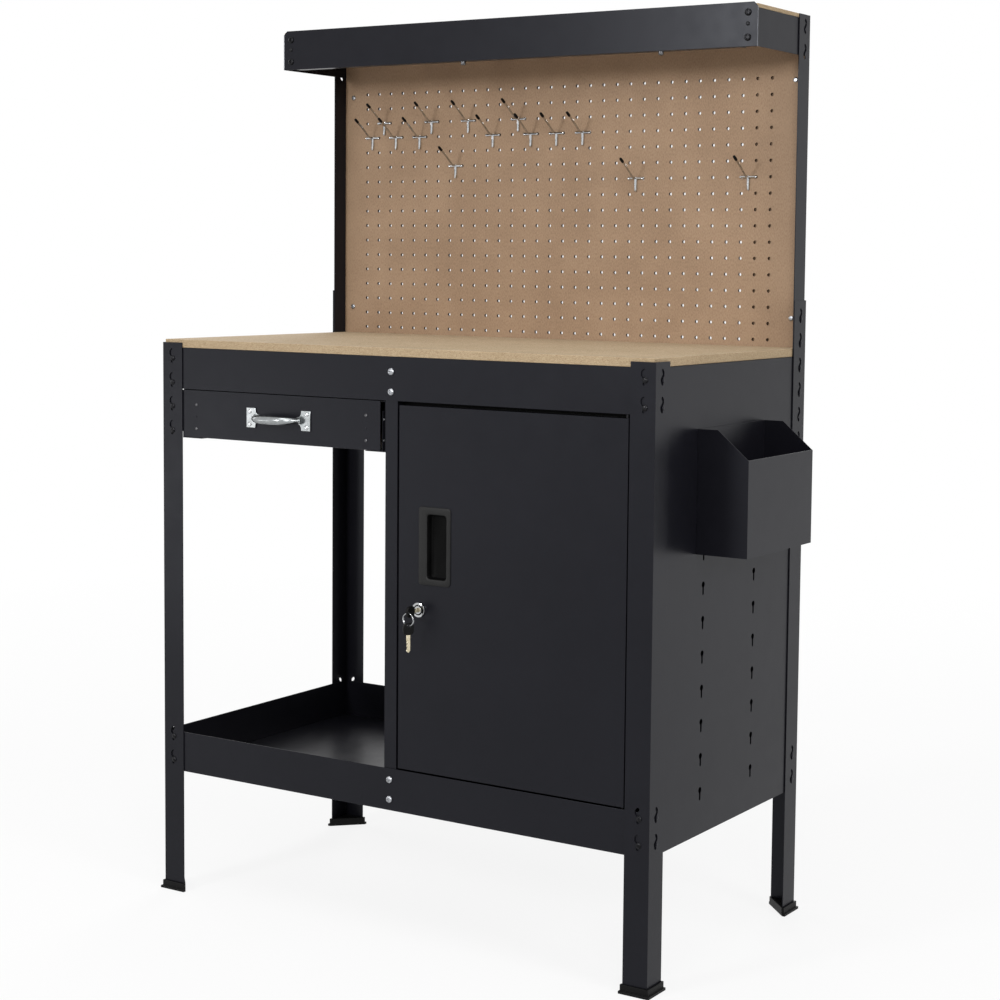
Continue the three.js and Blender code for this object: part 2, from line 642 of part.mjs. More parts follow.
// Door, a folded pan that turns on two pins near its right edge
const doorLeft = midPostRight + DOOR_SIDE_GAP;
const doorRight = halfWidth - LEG_FLANGE - DOOR_RIGHT_GAP;
const doorFront = frontFace;
const doorSkinRear = doorFront + SHEET;
const doorRear = doorFront + DOOR_FLANGE;
const doorBottom = lowerBeamTop + DOOR_BOTTOM_GAP;
const doorTop = apronBottom - DOOR_TOP_GAP;
const pinX = doorRight - SHEET - GAP - PIN_R;
const pinY = doorFront + PIN_SETBACK;
const pullLeft = doorLeft + PULL_LEFT_INSET;
const pullRight = pullLeft + PULL_WIDTH;
const pullLow = PULL_CENTRE_Z - PULL_HEIGHT / 2;
const pullHigh = PULL_CENTRE_Z + PULL_HEIGHT / 2;
const lockX = doorLeft + LOCK_INSET;
const lockZ = PULL_CENTRE_Z - LOCK_DROP;

function recessOutline(grow) {
  return roundedRectangle(pullLeft + PULL_RIM_LEFT - grow, pullRight - PULL_RIM_RIGHT + grow,
    pullLow + PULL_RIM_BOTTOM - grow, pullHigh - PULL_RIM_TOP + grow, PULL_CORNER_R);
}

function makeDoor() {
  const shell = cut(
    box(doorLeft, doorRight, doorFront, doorRear, doorBottom, doorTop),
    [box(doorLeft + SHEET, doorRight - SHEET, doorSkinRear, doorRear + SHEET,
      doorBottom + SHEET, doorTop - SHEET)],
  );
  const pullHole = prism(recessOutline(PULL_CUP_WALL + GAP), 'y', 0, 2 * doorSkinRear, 3);
  const lockHole = rod('y', lockX, 0, lockZ, LOCK_BARREL_R + GAP, 0, 2 * doorSkinRear);
  const topPin = rod('z', pinX, pinY, 0, PIN_R + GAP, doorTop - 2 * SHEET, doorTop + SHEET);
  const bottomPin = rod('z', pinX, pinY, 0, PIN_R + GAP, doorBottom - SHEET, doorBottom + 2 * SHEET);
  place('door', cut(shell, [pullHole, lockHole, topPin, bottomPin]), powderCoat());

  const rimRear = doorFront - GAP;
  const rimFront = rimRear - PULL_RIM_THICK;
  const cupRear = doorFront + PULL_CUP_DEPTH;
  const rim = roundedRectangle(pullLeft, pullRight, pullLow, pullHigh, PULL_CORNER_R);
  const pull = join(
    prism(rim, 'y', rimFront, rimRear, 3),
    prism(recessOutline(PULL_CUP_WALL), 'y', rimFront, cupRear, 3),
  );
  const recess = prism(recessOutline(0), 'y', rimFront - PULL_RIM_THICK, cupRear - PULL_CUP_WALL, 3);
  place('door_pull', cut(pull, [recess]), blackPlastic());

  const apronPinTop = apronBottom + BEAM_WALL + PIN_ENGAGE;
  place('door_pin_top', rod('z', pinX, pinY, 0, PIN_R, doorTop - PIN_ENGAGE, apronPinTop), blackSteel());
  const tabTop = lowerBeamTop - GAP;
  const tabBottom = tabTop - PIVOT_WALL;
  place('door_pin_bottom', rod('z', pinX, pinY, 0, PIN_R, tabBottom - PIN_ENGAGE, doorBottom + PIN_ENGAGE),
    blackSteel());

  const tabFront = frontInner + GAP;
  const bracket = join(
    box(pinX - PIVOT_TAB / 2, pinX + PIVOT_TAB / 2, tabFront, tabFront + BEAM_FLANGE, tabBottom, tabTop),
    box(pinX - PIVOT_TAB / 2, pinX - PIN_R - 2 * PIVOT_WALL, tabFront, tabFront + PIVOT_WALL,
      tabTop - PIVOT_TAB_DROP, tabTop),
    box(pinX + PIN_R + 2 * PIVOT_WALL, pinX + PIVOT_TAB / 2, tabFront, tabFront + PIVOT_WALL,
      tabTop - PIVOT_TAB_DROP, tabTop),
  );
  const bracketHole = rod('z', pinX, pinY, 0, PIN_R + GAP, tabBottom - PIVOT_WALL, tabTop + PIVOT_WALL);
  place('pivot_bracket', cut(bracket, [bracketHole]), powderCoat());
}

// Cam lock: fixed barrel and nut, and a turning plug with its cam and key
const barrelFront = doorFront - GAP - LOCK_HEAD_THICK;
const camFront = midPostRear + CAM_CLEAR;
const barrelRear = camFront - GAP;
const plugFront = barrelFront - PLUG_PROUD;
const plugRear = camFront + CAM_THICK;
const keyBowY = plugFront - KEY_NECK - KEY_BOW_R;
const keyHoleY = keyBowY - KEY_BOW_R / 2;
const ringHang = KEY_HOLE_R - RING_WIRE_R - GAP;
const ringZ = lockZ - ringHang - RING_R;
const spareHoleZ = ringZ - RING_R - ringHang;

// A flat key in the plane x = 0 of its own frame: the bow's hole is the origin and the blade runs along +Y.
function keyOutline() {
  const half = KEY_BLADE_WIDTH / 2;
  const bowCentre = KEY_BOW_R / 2;
  const neckAngle = Math.asin(half / KEY_BOW_R);
  const blade = bowCentre + KEY_BOW_R + KEY_NECK + KEY_BLADE_LENGTH;
  const shape = new THREE.Shape();
  shape.absarc(bowCentre, 0, KEY_BOW_R, neckAngle, Math.PI * 2 - neckAngle);
  shape.lineTo(blade - half, -half);
  shape.lineTo(blade, 0);
  shape.lineTo(blade - half, half);
  shape.closePath();
  const hole = new THREE.Path();
  hole.absarc(0, 0, KEY_HOLE_R, 0, Math.PI * 2, true);
  shape.holes.push(hole);
  return shape;
}

function makeLock() {
  const barrel = join(
    rod('y', lockX, 0, lockZ, LOCK_HEAD_R, barrelFront, doorFront - GAP),
    rod('y', lockX, 0, lockZ, LOCK_BARREL_R, barrelFront, barrelRear),
  );
  const bore = rod('y', lockX, 0, lockZ, PLUG_R + GAP, barrelFront - SHEET, barrelRear + SHEET);
  place('lock_barrel', cut(barrel, [bore]), chrome());

  const nutFront = doorSkinRear + GAP;
  const nut = rod('y', lockX, 0, lockZ, LOCK_NUT_R, nutFront, nutFront + LOCK_NUT_THICK, 6);
  const nutBore = rod('y', lockX, 0, lockZ, LOCK_BARREL_R + GAP, 0, 2 * barrelRear);
  place('lock_nut', cut(nut, [nutBore]), zinc());

  const plug = rod('y', lockX, 0, lockZ, PLUG_R, plugFront, plugRear);
  const keyway = box(lockX - KEY_THICK / 2 - GAP, lockX + KEY_THICK / 2 + GAP, plugFront - SHEET,
    plugFront + KEY_BLADE_LENGTH, lockZ - KEY_BLADE_WIDTH / 2 - GAP, lockZ + KEY_BLADE_WIDTH / 2 + GAP);
  place('lock_plug', cut(plug, [keyway]), chrome());

  const camShape = roundedRectangle(lockX - CAM_WIDTH / 2, lockX + CAM_WIDTH / 2, lockZ - CAM_WIDTH / 2,
    lockZ + CAM_LENGTH, CAM_CORNER_R);
  const cam = prism(camShape, 'y', camFront, camFront + CAM_THICK, 4);
  const camBore = rod('y', lockX, 0, lockZ, PLUG_R + GAP, camFront - SHEET, plugRear + SHEET);
  place('lock_cam', cut(cam, [camBore]), zinc());

  const keyBody = () => prism(keyOutline(), 'x', -KEY_THICK / 2, KEY_THICK / 2, 4);
  place('key', keyBody().translate(lockX, keyHoleY, lockZ), blackSteel());

  const ring = new THREE.TorusGeometry(RING_R, RING_WIRE_R, 6, 24);
  place('key_ring', ring.rotateX(Math.PI / 2).translate(lockX, keyHoleY, ringZ), chrome());

  const spare = keyBody().rotateX(-Math.PI / 2);
  place('spare_key', spare.translate(lockX, keyHoleY, spareHoleZ), blackSteel());
}

// Drawer on two folded runners
const runnerLeftOuter = -halfWidth + LEG_FLANGE + GAP;
const runnerLeftInner = runnerLeftOuter + BEAM_WALL;
const runnerRightOuter = MID_POST_LEFT - GAP;
const runnerRightInner = runnerRightOuter - BEAM_WALL;
const drawerFrontTop = apronBottom - DRAWER_TOP_GAP;
const drawerFrontBottom = drawerFrontTop - DRAWER_FRONT_HEIGHT;
const drawerFrontLeft = -halfWidth + LEG_FLANGE + DRAWER_LEFT_GAP;
const drawerFrontRight = MID_POST_LEFT - DRAWER_RIGHT_GAP;
const runnerBottom = drawerFrontBottom - RUNNER_DROP;
const runnerTop = drawerFrontTop - GAP;
const boxLeft = runnerLeftInner + DRAWER_SIDE_CLEAR;
const boxRight = runnerRightInner - DRAWER_SIDE_CLEAR;
const boxBottom = runnerBottom + BEAM_WALL + GAP;
const boxTop = boxBottom + DRAWER_BOX_HEIGHT;
const boxFront = frontFace + SHEET + GAP;
const boxRear = boxFront + DRAWER_BOX_DEPTH;

function makeRunners() {
  const start = frontInner + GAP;
  const end = backPanelFront - GAP;
  const tabLow = runnerTop - RUNNER_TAB_HEIGHT;
  const tabOuter = -crossHalf;
  place('runner_left', join(
    box(runnerLeftOuter, runnerLeftInner, frontFace, rearFace, runnerBottom, runnerTop),
    box(runnerLeftOuter, runnerLeftOuter + RUNNER_SHELF, start, end, runnerBottom, runnerBottom + BEAM_WALL),
    box(runnerLeftOuter, runnerLeftOuter + RUNNER_LIP, start, end, runnerTop - BEAM_WALL, runnerTop),
    box(tabOuter, runnerLeftInner, frontFace, frontInner, tabLow, runnerTop),
    box(tabOuter, runnerLeftInner, rearInner, rearFace, tabLow, runnerTop),
  ), powderCoat());
  place('runner_right', join(
    box(runnerRightInner, runnerRightOuter, start, end, runnerBottom, runnerTop),
    box(runnerRightOuter - RUNNER_SHELF, runnerRightOuter, start, end,
      runnerBottom, runnerBottom + BEAM_WALL),
    box(runnerRightOuter - RUNNER_LIP, runnerRightOuter, start, end, runnerTop - BEAM_WALL, runnerTop),
  ), powderCoat());
}

function makeDrawer() {
  place('drawer_front', box(drawerFrontLeft, drawerFrontRight, frontFace, frontFace + SHEET,
    drawerFrontBottom, drawerFrontTop), powderCoat());
  place('drawer_side_left', box(boxLeft, boxLeft + SHEET, boxFront, boxRear, boxBottom, boxTop),
    powderCoat());
  place('drawer_side_right', box(boxRight - SHEET, boxRight, boxFront, boxRear, boxBottom, boxTop),
    powderCoat());
  const innerLeft = boxLeft + SHEET + GAP;
  const innerRight = boxRight - SHEET - GAP;
  place('drawer_bottom', box(innerLeft, innerRight, boxFront, boxRear - SHEET - GAP,
    boxBottom, boxBottom + SHEET), powderCoat());
  place('drawer_back', box(innerLeft, innerRight, boxRear - SHEET, boxRear, boxBottom, boxTop), powderCoat());
  makeHandle();
}

// Each end plate flares into two ears and narrows to a neck under the bow.
function handlePlate(outerX, side, centreZ) {
  const half = HANDLE_PLATE_HEIGHT / 2;
  const earX = outerX - side * HANDLE_EAR_WIDTH;
  const innerX = outerX - side * HANDLE_PLATE_WIDTH;
  const shape = new THREE.Shape();
  shape.moveTo(outerX, centreZ - half);
  shape.lineTo(outerX, centreZ + half);
  shape.lineTo(earX, centreZ + half);
  shape.quadraticCurveTo(earX, centreZ + HANDLE_NECK_HALF, innerX, centreZ + HANDLE_NECK_HALF);
  shape.lineTo(innerX, centreZ - HANDLE_NECK_HALF);
  shape.quadraticCurveTo(earX, centreZ - HANDLE_NECK_HALF, earX, centreZ - half);
  shape.closePath();
  return shape;
}

function makeHandle() {
  const centreX = (drawerFrontLeft + drawerFrontRight) / 2;
  const centreZ = (drawerFrontTop + drawerFrontBottom) / 2;
  const seat = frontFace - GAP;
  const plateFront = seat - HANDLE_PLATE_THICK;
  const plates = [-1, 1].map((side) =>
    prism(handlePlate(centreX + (side * HANDLE_SPAN) / 2, side, centreZ), 'y', plateFront, seat, 4));
  const footX = HANDLE_SPAN / 2 - HANDLE_PLATE_WIDTH + HANDLE_END_R;
  const bowY = seat - HANDLE_REACH + HANDLE_MID_R;
  const footY = seat - HANDLE_PLATE_THICK / 2;
  const half = [
    [footX, footY], [footX, plateFront - HANDLE_RISE],
    [footX - HANDLE_SHOULDER_IN, bowY + HANDLE_SHOULDER_DROP],
  ];
  const route = [
    ...half.map(([x, y]) => [-x, y]), [0, bowY], ...half.reverse(),
  ].map(([x, y]) => new THREE.Vector3(centreX + x, y, centreZ));
  const swell = (t) => HANDLE_END_R + (HANDLE_MID_R - HANDLE_END_R) * Math.sin(Math.PI * t) ** 2;
  const bow = taperedTube(route, swell, HANDLE_STEPS, HANDLE_SIDES);
  place('drawer_handle', join(...plates, bow), zinc());
}

// Side bin, a folded tray whose two studs hang in keyholes
function makeBin() {
  const backX = sideFace + GAP;
  const frontX = backX + BIN_DEPTH;
  const low = keyholeCentreY - BIN_WIDTH / 2;
  const high = keyholeCentreY + BIN_WIDTH / 2;
  const frontTop = BIN_BOTTOM_Z + BIN_FRONT_HEIGHT;
  const backTop = BIN_BOTTOM_Z + BIN_BACK_HEIGHT;
  const outline = (inset, rise) => flatShape([
    [backX + inset, BIN_BOTTOM_Z + inset], [frontX - inset, BIN_BOTTOM_Z + inset],
    [frontX - inset, frontTop + rise], [backX + BIN_FLAT_TOP, backTop + rise],
    [backX + inset, backTop + rise],
  ]);
  const shell = cut(prism(outline(0, 0), 'y', low, high),
    [prism(outline(SHEET, 2 * SHEET), 'y', low + SHEET, high - SHEET)]);
  const hookZ = keyholeZ(BIN_HOOK_ROW) - KEYHOLE_TAIL_DROP;
  const headRear = sideFace - SHEET - GAP;
  const studs = keyholeColumns.flatMap((y) => [
    rod('x', 0, y, hookZ, BIN_HOOK_STEM_R, headRear - BIN_HOOK_HEAD_THICK / 2, backX + SHEET / 2,
      SMALL_ROUND),
    rod('x', 0, y, hookZ, BIN_HOOK_HEAD_R, headRear - BIN_HOOK_HEAD_THICK, headRear, SMALL_ROUND),
  ]);
  place('side_bin', join(shell, ...studs), powderCoat());
}

makeLegs();
makeFeet();
makePosts();
makeAprons();
makeLowerBeams();
makeSidePanel();
makeMiddlePost();
makeCabinetPanels();
makeWorktop();
makeTopShelf();
makeDoor();
makeLock();
makeRunners();
makeDrawer();
makeBin();

// The origin is the middle of the object's footprint, on the floor.
const extent = new THREE.Box3().setFromObject(bench, true);
const middle = extent.getCenter(new THREE.Vector3());
bench.position.set(-middle.x, -middle.y, -extent.min.z);
bench.updateMatrixWorld(true);

export default bench;
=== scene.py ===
"""Looks of a steel workbench with a drawer, a cabinet door, a pegboard back, a top shelf and a side bin.

Metres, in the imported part's own frame: +X to the right, the front towards -Y, +Z up.
"""
import json
import math

import bmesh
import bpy
from mathutils import Matrix, Vector


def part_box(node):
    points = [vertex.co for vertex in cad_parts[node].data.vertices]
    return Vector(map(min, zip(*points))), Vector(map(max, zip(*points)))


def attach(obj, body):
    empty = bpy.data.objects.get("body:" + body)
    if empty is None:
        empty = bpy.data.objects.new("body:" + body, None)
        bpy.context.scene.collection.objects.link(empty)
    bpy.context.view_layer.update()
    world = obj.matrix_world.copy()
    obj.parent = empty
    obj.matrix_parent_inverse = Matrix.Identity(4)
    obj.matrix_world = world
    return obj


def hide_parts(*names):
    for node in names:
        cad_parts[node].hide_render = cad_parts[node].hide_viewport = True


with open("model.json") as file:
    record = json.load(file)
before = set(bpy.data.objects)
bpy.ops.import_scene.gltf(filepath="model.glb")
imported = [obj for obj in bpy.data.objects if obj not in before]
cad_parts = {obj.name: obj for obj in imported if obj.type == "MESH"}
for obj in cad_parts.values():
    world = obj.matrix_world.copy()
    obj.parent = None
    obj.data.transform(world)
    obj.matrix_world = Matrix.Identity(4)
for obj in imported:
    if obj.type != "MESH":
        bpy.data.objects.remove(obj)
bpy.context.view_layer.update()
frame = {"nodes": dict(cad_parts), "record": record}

NODES = frame["nodes"]
X, Y, Z = Vector((1, 0, 0)), Vector((0, 1, 0)), Vector((0, 0, 1))

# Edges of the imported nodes
WELD_DISTANCE = 1e-6
FLAT_DEG = 1

# Pegboard: a grid of round holes, with a strip of hardboard behind the last two columns
PEG_PITCH = 0.0254
PEG_HOLE_R = 0.0027
PEG_COLUMNS = 32
PEG_ROWS = 17
PEG_LEFT_MARGIN = 0.048
PEG_LOW_MARGIN = 0.0108
PEG_SIDES = 16
BACK_STRIP_SIDE = 0.021
BACK_STRIP_GAP = 0.0003
BACK_STRIP_DROP = 0.012
BACK_STRIP_CORNER_R = 0.003
BACK_STRIP_THICK = 0.0012

# Hooks: the middle of each bar, in columns and rows of peg holes
HOOKS = [
    (1.5, 14), (5.5, 14), (8.5, 14), (12.5, 14),
    (0.5, 13), (2.5, 13), (4.5, 13), (10.5, 13), (13.5, 13), (15.5, 13), (17.5, 13),
    (7.5, 11), (21.5, 10), (29.5, 10),
]
HOOK_SIDES = 10
HOOK_BAR_R = 0.0019
HOOK_PIN_DEPTH = 0.0046
HOOK_STEM = 0.021
HOOK_STEM_R = 0.0022
HOOK_STEM_RISE = 0.002
HOOK_STEM_TAPER = 0.001
HOOK_STEM_TIP_SHARE = 0.7
HOOK_WIRE_R = 0.0016
HOOK_REACH = 0.047
HOOK_RISE = 0.028
HOOK_ARM_STEPS = 6
HOOK_CAP_R = 0.0024
HOOK_CAP_LENGTH = 0.0105
HOOK_CAP_LAP = 0.6 * HOOK_CAP_LENGTH
HOOK_CAP_SIDES = 14
# A bar's corner, as radius and depth; an arm, as way out and up; a cap, as radius and length
HOOK_CORNER = [(0.0008, 0.0), (HOOK_BAR_R, 0.0007), (HOOK_BAR_R, 0.002)]
HOOK_ARM = [
    (0.0, 0.0), (0.004, 0.001), (0.010, 0.002),
    (0.6 * HOOK_REACH, 0.55 * HOOK_RISE), (HOOK_REACH, HOOK_RISE)]
HOOK_CAP = [
    (0.9 * HOOK_CAP_R, 0.0), (HOOK_CAP_R, 0.0008), (0.95 * HOOK_CAP_R, HOOK_CAP_LENGTH - 0.0022),
    (0.75 * HOOK_CAP_R, HOOK_CAP_LENGTH - 0.0006), (0.3 * HOOK_CAP_R, HOOK_CAP_LENGTH)]

# Heads of rivets and screws, as shares of their radius and height
RIVET_PROFILE = [(1.0, 0.0), (1.0, 0.35), (0.86, 0.72), (0.55, 0.95), (0.2, 1.0)]
RIVET_SIDES = 16
SCREW_PROFILE = [(1.0, 0.0), (1.0, 0.35), (0.9, 0.7), (0.66, 0.96), (0.58, 1.0)]
SCREW_SIDES = 24
RECESS_ARM = 0.52
RECESS_CORE = 0.16
RECESS_LEVELS = (1.0, 0.45)

# Shanks of the middle post's bolts
BOLT_COUNT = 4
BOLT_SHANK_R = 0.003
BOLT_TIP_R = 0.0024
BOLT_SHANK_START = 0.0006
BOLT_CHAMFER = 0.0006
BOLT_SIDES = 16

# Slots of the legs, counted down from the upper one, and the rivets beside them as radius and height
SLOT_TOP_Z = 0.866
SLOT_PITCH = 0.0381
SLOT_INSET = 0.0185
POST_ROWS = [-2, -1]
UPPER_ROWS = [0, 1]
RUNNER_ROWS = [2, 3]
LOWER_ROWS = [16, 17]
SIDE_RIVET_AT = (-0.0024, -0.0047)
SIDE_RIVET = (0.0031, 0.0014)
FACE_RIVET_AT = (0.0019, -0.0040)
FACE_RIVET = (0.0042, 0.0020)

# Fasteners of the top shelf, as radius and height, and the hems at the fascia's ends, which carry a painted
# highlight
SHELF_SCREW = (0.0054, 0.0026)
SHELF_SCREW_INSET = 0.0155
SHELF_SCREW_LOW = 0.0135
SHELF_SCREW_HIGH = 0.0150
SHELF_RIVET = (0.0032, 0.0016)
SHELF_RIVET_UP = 0.0335
HEM_R = 0.0009
HEM_BACK = 0.0006
HEM_TOP_DROP = 0.0062
HEM_SIDES = 10
LIP_NUT_X = (-0.1185, 0.2445)
LIP_NUT_BACK = 0.0070
LIP_NUT_SIDES = 12
# Domed nut under the shelf's lip, as radius and drop
LIP_NUT_PROFILE = [
    (0.0050, 0.0), (0.0050, 0.0007), (0.0040, 0.0010), (0.0040, 0.0036), (0.0033, 0.0052), (0.0018, 0.0062)]

# Fasteners of the pegboard and the drawer, as radius and height
PEG_SCREW = (0.0042, 0.0020)
PEG_SCREW_INSET = 0.0175
PEG_SCREW_Z = (0.9374, 1.3046)
DRAWER_SCREW = (0.0023, 0.0013)
DRAWER_SCREW_INSET = 0.0265
DRAWER_SCREW_Z = (0.7520, 0.7900)
DRAWER_RIVET = (0.0016, 0.0006)
DRAWER_RIVET_Z = 0.7710
SIDE_SCREW = (0.0017, 0.0010)
SIDE_SCREW_BACK = 0.0034
SIDE_SCREW_Z = (0.7536, 0.7848)

# Door pull
PULL_RIM_LEFT = 0.015
PULL_RIM_RIGHT = 0.0075
PULL_RIM_TOP = 0.011
PULL_RIM_BOTTOM = 0.0095
PULL_CORNER_R = 0.005
PULL_LEAST_CORNER_R = 0.001
PULL_CUP_WALL = 0.0016
PULL_SEAT = 0.0002
PULL_CUP_START = 0.0014
PULL_SHARP_DEG = 50
# Its outer edge as inset and depth, its inner edge as growth and depth, its floor's as growth and height
PULL_OUTER_EDGE = [(0.0002, 0.0009), (0.0007, 0.0003), (0.0016, 0.0)]
PULL_INNER_EDGE = [(0.0022, 0.0), (0.0009, 0.0003), (0.0001, 0.0012)]
PULL_FLOOR_EDGE = [(-0.0006, 0.0030), (-0.0012, 0.0010), (-0.0026, 0.0)]

# Drawer handle
HANDLE_EAR = 0.0175
HANDLE_PLATE = 0.026
HANDLE_PLATE_THICK = 0.002
HANDLE_PLATE_EDGE = 0.0006
HANDLE_NECK_HALF = 0.005
HANDLE_NECK_STEPS = 6
HANDLE_MID_R = 0.0070
HANDLE_END_R = 0.0043
HANDLE_FLARE_R = 0.0016
HANDLE_FLARE_SHARE = 0.09
HANDLE_BOW_TALL = 1.28
HANDLE_BOW_LAP = 0.002
HANDLE_BOW_STEPS = 6
HANDLE_BOW_SIDES = 20
HANDLE_SHARP_DEG = 60
HANDLE_SCREW = (0.0036, 0.0015)
HANDLE_SCREW_INSET = 0.0068
HANDLE_SCREW_UP = 0.0098
# A bow's foot as way along and out, and its bend as way along and share of the bow's depth
HANDLE_FOOT = [(0.006, 0.0016), (0.001, 0.0045)]
HANDLE_BEND = [(-0.006, 0.62), (-0.018, 0.93)]

# Fold behind the drawer front, as way back and up from its upper edge, and the tab beside it
FOLD_PROFILE = [
    (0.0, -0.0078), (0.0, -0.0012), (0.0009, -0.0003), (0.0132, -0.0003), (0.0132, 0.0008),
    (0.0140, 0.0008), (0.0140, -0.0011), (0.0013, -0.0011), (0.0008, -0.0016), (0.0008, -0.0078),
]
FOLD_GAP = 0.0003
FOLD_END_GAP = 0.0004
TAB_REACH = 0.0150
TAB_GAP = 0.0003
TAB_DROP = 0.0130
TAB_LAP = 0.0010
TAB_CORNER_R = 0.0005
TAB_THICK = 0.0010

# Strip that stops the door, in near-black plastic as painted shade, and the foot of the cabinet divider
DOOR_STOP_GAP = 0.0003
DOOR_STOP_TUCK = 0.002
DOOR_STOP_LAP = 0.009
DOOR_STOP_SEAT = 0.0012
DOOR_STOP_OFF = 0.0001
DOOR_STOP_CORNER_R = 0.0004
DOOR_STOP_THICK = 0.001
FOOT_GAP = 0.0001
FOOT_REACH = 0.012
FOOT_TALL = 0.010
FOOT_THICK = 0.0008
FOOT_BEND = 0.0014

# Groove round the lock's plug, in dark plastic as painted shade
GROOVE_INNER_R = 0.0063
GROOVE_OUTER_R = 0.0078
GROOVE_DEEP = 0.0003
GROOVE_PROUD = 0.0001
GROOVE_LIP = 0.0002
GROOVE_SIDES = 28

# Keys and their ring
KEY_SIDES = 28
KEY_BOW_R = 0.010
KEY_BOW_POWER = 3
KEY_BOW_SHARES = (0.93, 0.8556)
KEY_BOW_THICK = 0.0042
KEY_HOLE_R = 0.003
KEY_BLADE_WIDTH = 0.006
KEY_BLADE_THICK = 0.0018
KEY_BLADE_ROOT = 0.8
KEY_BLADE_EDGE = 0.0002
KEY_NECK = 0.008
KEY_BLADE_LENGTH = 0.017
KEY_CUTS = [0.0012, 0.0022, 0.0008, 0.0018, 0.0010]
KEY_CUT_SPAN = (0.35, 0.65)
KEY_CUT_PEAK = 0.0003
KEY_TIP_SPAN = (-0.2, 0.3)
# A bow's edge, as growth and share of half its thickness
KEY_BOW_EDGE = [(-0.0012, -1.0), (-0.0003, -0.7), (0.0, 0.0), (-0.0003, 0.7), (-0.0012, 1.0)]
SPARE_TWIST_DEG = 30
RING_WIRE_R = 0.0006
RING_TURNS = 2
RING_STEPS = 64
RING_PITCH = 2.1 * RING_WIRE_R
RING_SIDES = 8

# Camera, fitted to the photograph's 1000 by 1000 frame
IMAGE_PX = 1000
FOCAL_PX = 2026.2
CENTRE_PX = (560, 420)
CAMERA_AT = (1.75998, -2.62106, 1.02559)
CAMERA_YAW = 0.5586
CAMERA_PITCH = -0.0793
CAMERA_ROLL = -0.0110
SENSOR_MM = 36

# Stage: the floor shows its shadow near the bench and is plain white far from it
FLOOR_HALF = 30
FLOOR_DROP = 0.0002
FLOOR_NEAR = 1.2
FLOOR_FAR = 3.5
FLOOR_WHITE_SHARE = 0.86
FLOOR_GREY = (0.86, 0.86, 0.86, 1)
WHITE = (1, 1, 1, 1)
WHITE_STRENGTH = 1.0
WORLD_FILL = 0.24

# Lamps: name, place, aim, side of the square and watts
LAMPS = [
    ("key", (2.3, -2.95, 1.95), (0, 0, 0.9), 1.2, 46),
    ("fill", (-2.45, -2.3, 0.3), (-0.3, 0, 0.5), 0.9, 5.5),
    ("top", (0.2, -1.0, 3.9), (0, 0.1, 0.9), 2.2, 42),
    ("side", (2.6, 2.1, 0.3), (0.4, -0.1, 0.6), 0.6, 3.5),
    ("right", (3.3, -0.9, 2.0), (0.4, 0, 0.8), 1.0, 40),
    ("rear", (-1.4, 3.6, 2.2), (0, 0.2, 0.8), 1.8, 60),
    ("left", (-3.6, 0.4, 1.8), (-0.4, 0, 0.7), 1.6, 25),
    ("front", (-0.85, -3.0, 1.74), (0.4, 0.1, 1.37), 0.5, 36),
]


# Mesh helpers

def loft(bm, rings, loop=False):
    """Joins rings of equally many points with quads, and closes the ends or joins them in a loop."""
    rows = [[bm.verts.new(point) for point in ring] for ring in rings]
    count = len(rows[0])
    pairs = list(zip(rows, rows[1:]))
    if loop:
        pairs.append((rows[-1], rows[0]))
    for low, high in pairs:
        for k in range(count):
            m = (k + 1) % count
            bm.faces.new((low[k], low[m], high[m], high[k]))
    if not loop:
        bm.faces.new(list(reversed(rows[0])))
        bm.faces.new(rows[-1])


def circle(centre, u, v, radius, count, squash=1.0):
    """Points round a centre in the plane of u and v; squash stretches it along v."""
    turn = 2 * math.pi / count
    return [
        centre + u * (radius * math.cos(k * turn)) + v * (radius * squash * math.sin(k * turn))
        for k in range(count)
    ]


def cross_frame(axis):
    """Two unit vectors square to an axis and to each other."""
    helper = X if abs(axis.dot(X)) < 0.9 else Z
    u = axis.cross(helper).normalized()
    return u, axis.cross(u).normalized()


def lathe(bm, base, axis, profile, sides):
    """A turned solid: profile is a list of (radius, height along the axis)."""
    u, v = cross_frame(axis)
    loft(bm, [circle(base + axis * high, u, v, radius, sides) for radius, high in profile])


def smooth_path(points, steps):
    """A Catmull-Rom curve through the points, with that many steps a span."""
    padded = [points[0] * 2 - points[1], *points, points[-1] * 2 - points[-2]]
    path = []
    for a, b, c, d in zip(padded, padded[1:], padded[2:], padded[3:]):
        for i in range(steps):
            t = i / steps
            path.append(0.5 * (
                b * 2 + (c - a) * t + (a * 2 - b * 5 + c * 4 - d) * t ** 2
                + (b * 3 - a - c * 3 + d) * t ** 3))
    path.append(points[-1].copy())
    return path


def tube(bm, path, radius_at, sides, squash=1.0):
    """A round bar along a path; radius_at takes the share of the way along it."""
    rings = []
    u = None
    for i, point in enumerate(path):
        ahead = path[min(i + 1, len(path) - 1)] - path[max(i - 1, 0)]
        heading = ahead.normalized()
        u = cross_frame(heading)[0] if u is None else (u - heading * u.dot(heading)).normalized()
        v = heading.cross(u)
        rings.append(circle(point, u, v, radius_at(i / (len(path) - 1)), sides, squash))
    loft(bm, rings)


def rod(bm, start, end, radius, sides):
    """A straight round bar."""
    tube(bm, [start, start.lerp(end, 0.5), end], lambda t: radius, sides)


def rounded_rectangle(x0, x1, z0, z1, radius, y, steps=5):
    """Points of a rounded rectangle that faces the front, at depth y."""
    corners = [
        (x1 - radius, z0 + radius, -90), (x1 - radius, z1 - radius, 0),
        (x0 + radius, z1 - radius, 90), (x0 + radius, z0 + radius, 180),
    ]
    ring = []
    for cx, cz, start in corners:
        for k in range(steps + 1):
            angle = math.radians(start + 90 * k / steps)
            ring.append(Vector((cx + radius * math.cos(angle), y, cz + radius * math.sin(angle))))
    return ring


def prism(bm, outline, along):
    """A flat outline pushed along a vector."""
    loft(bm, [outline, [point + along for point in outline]])


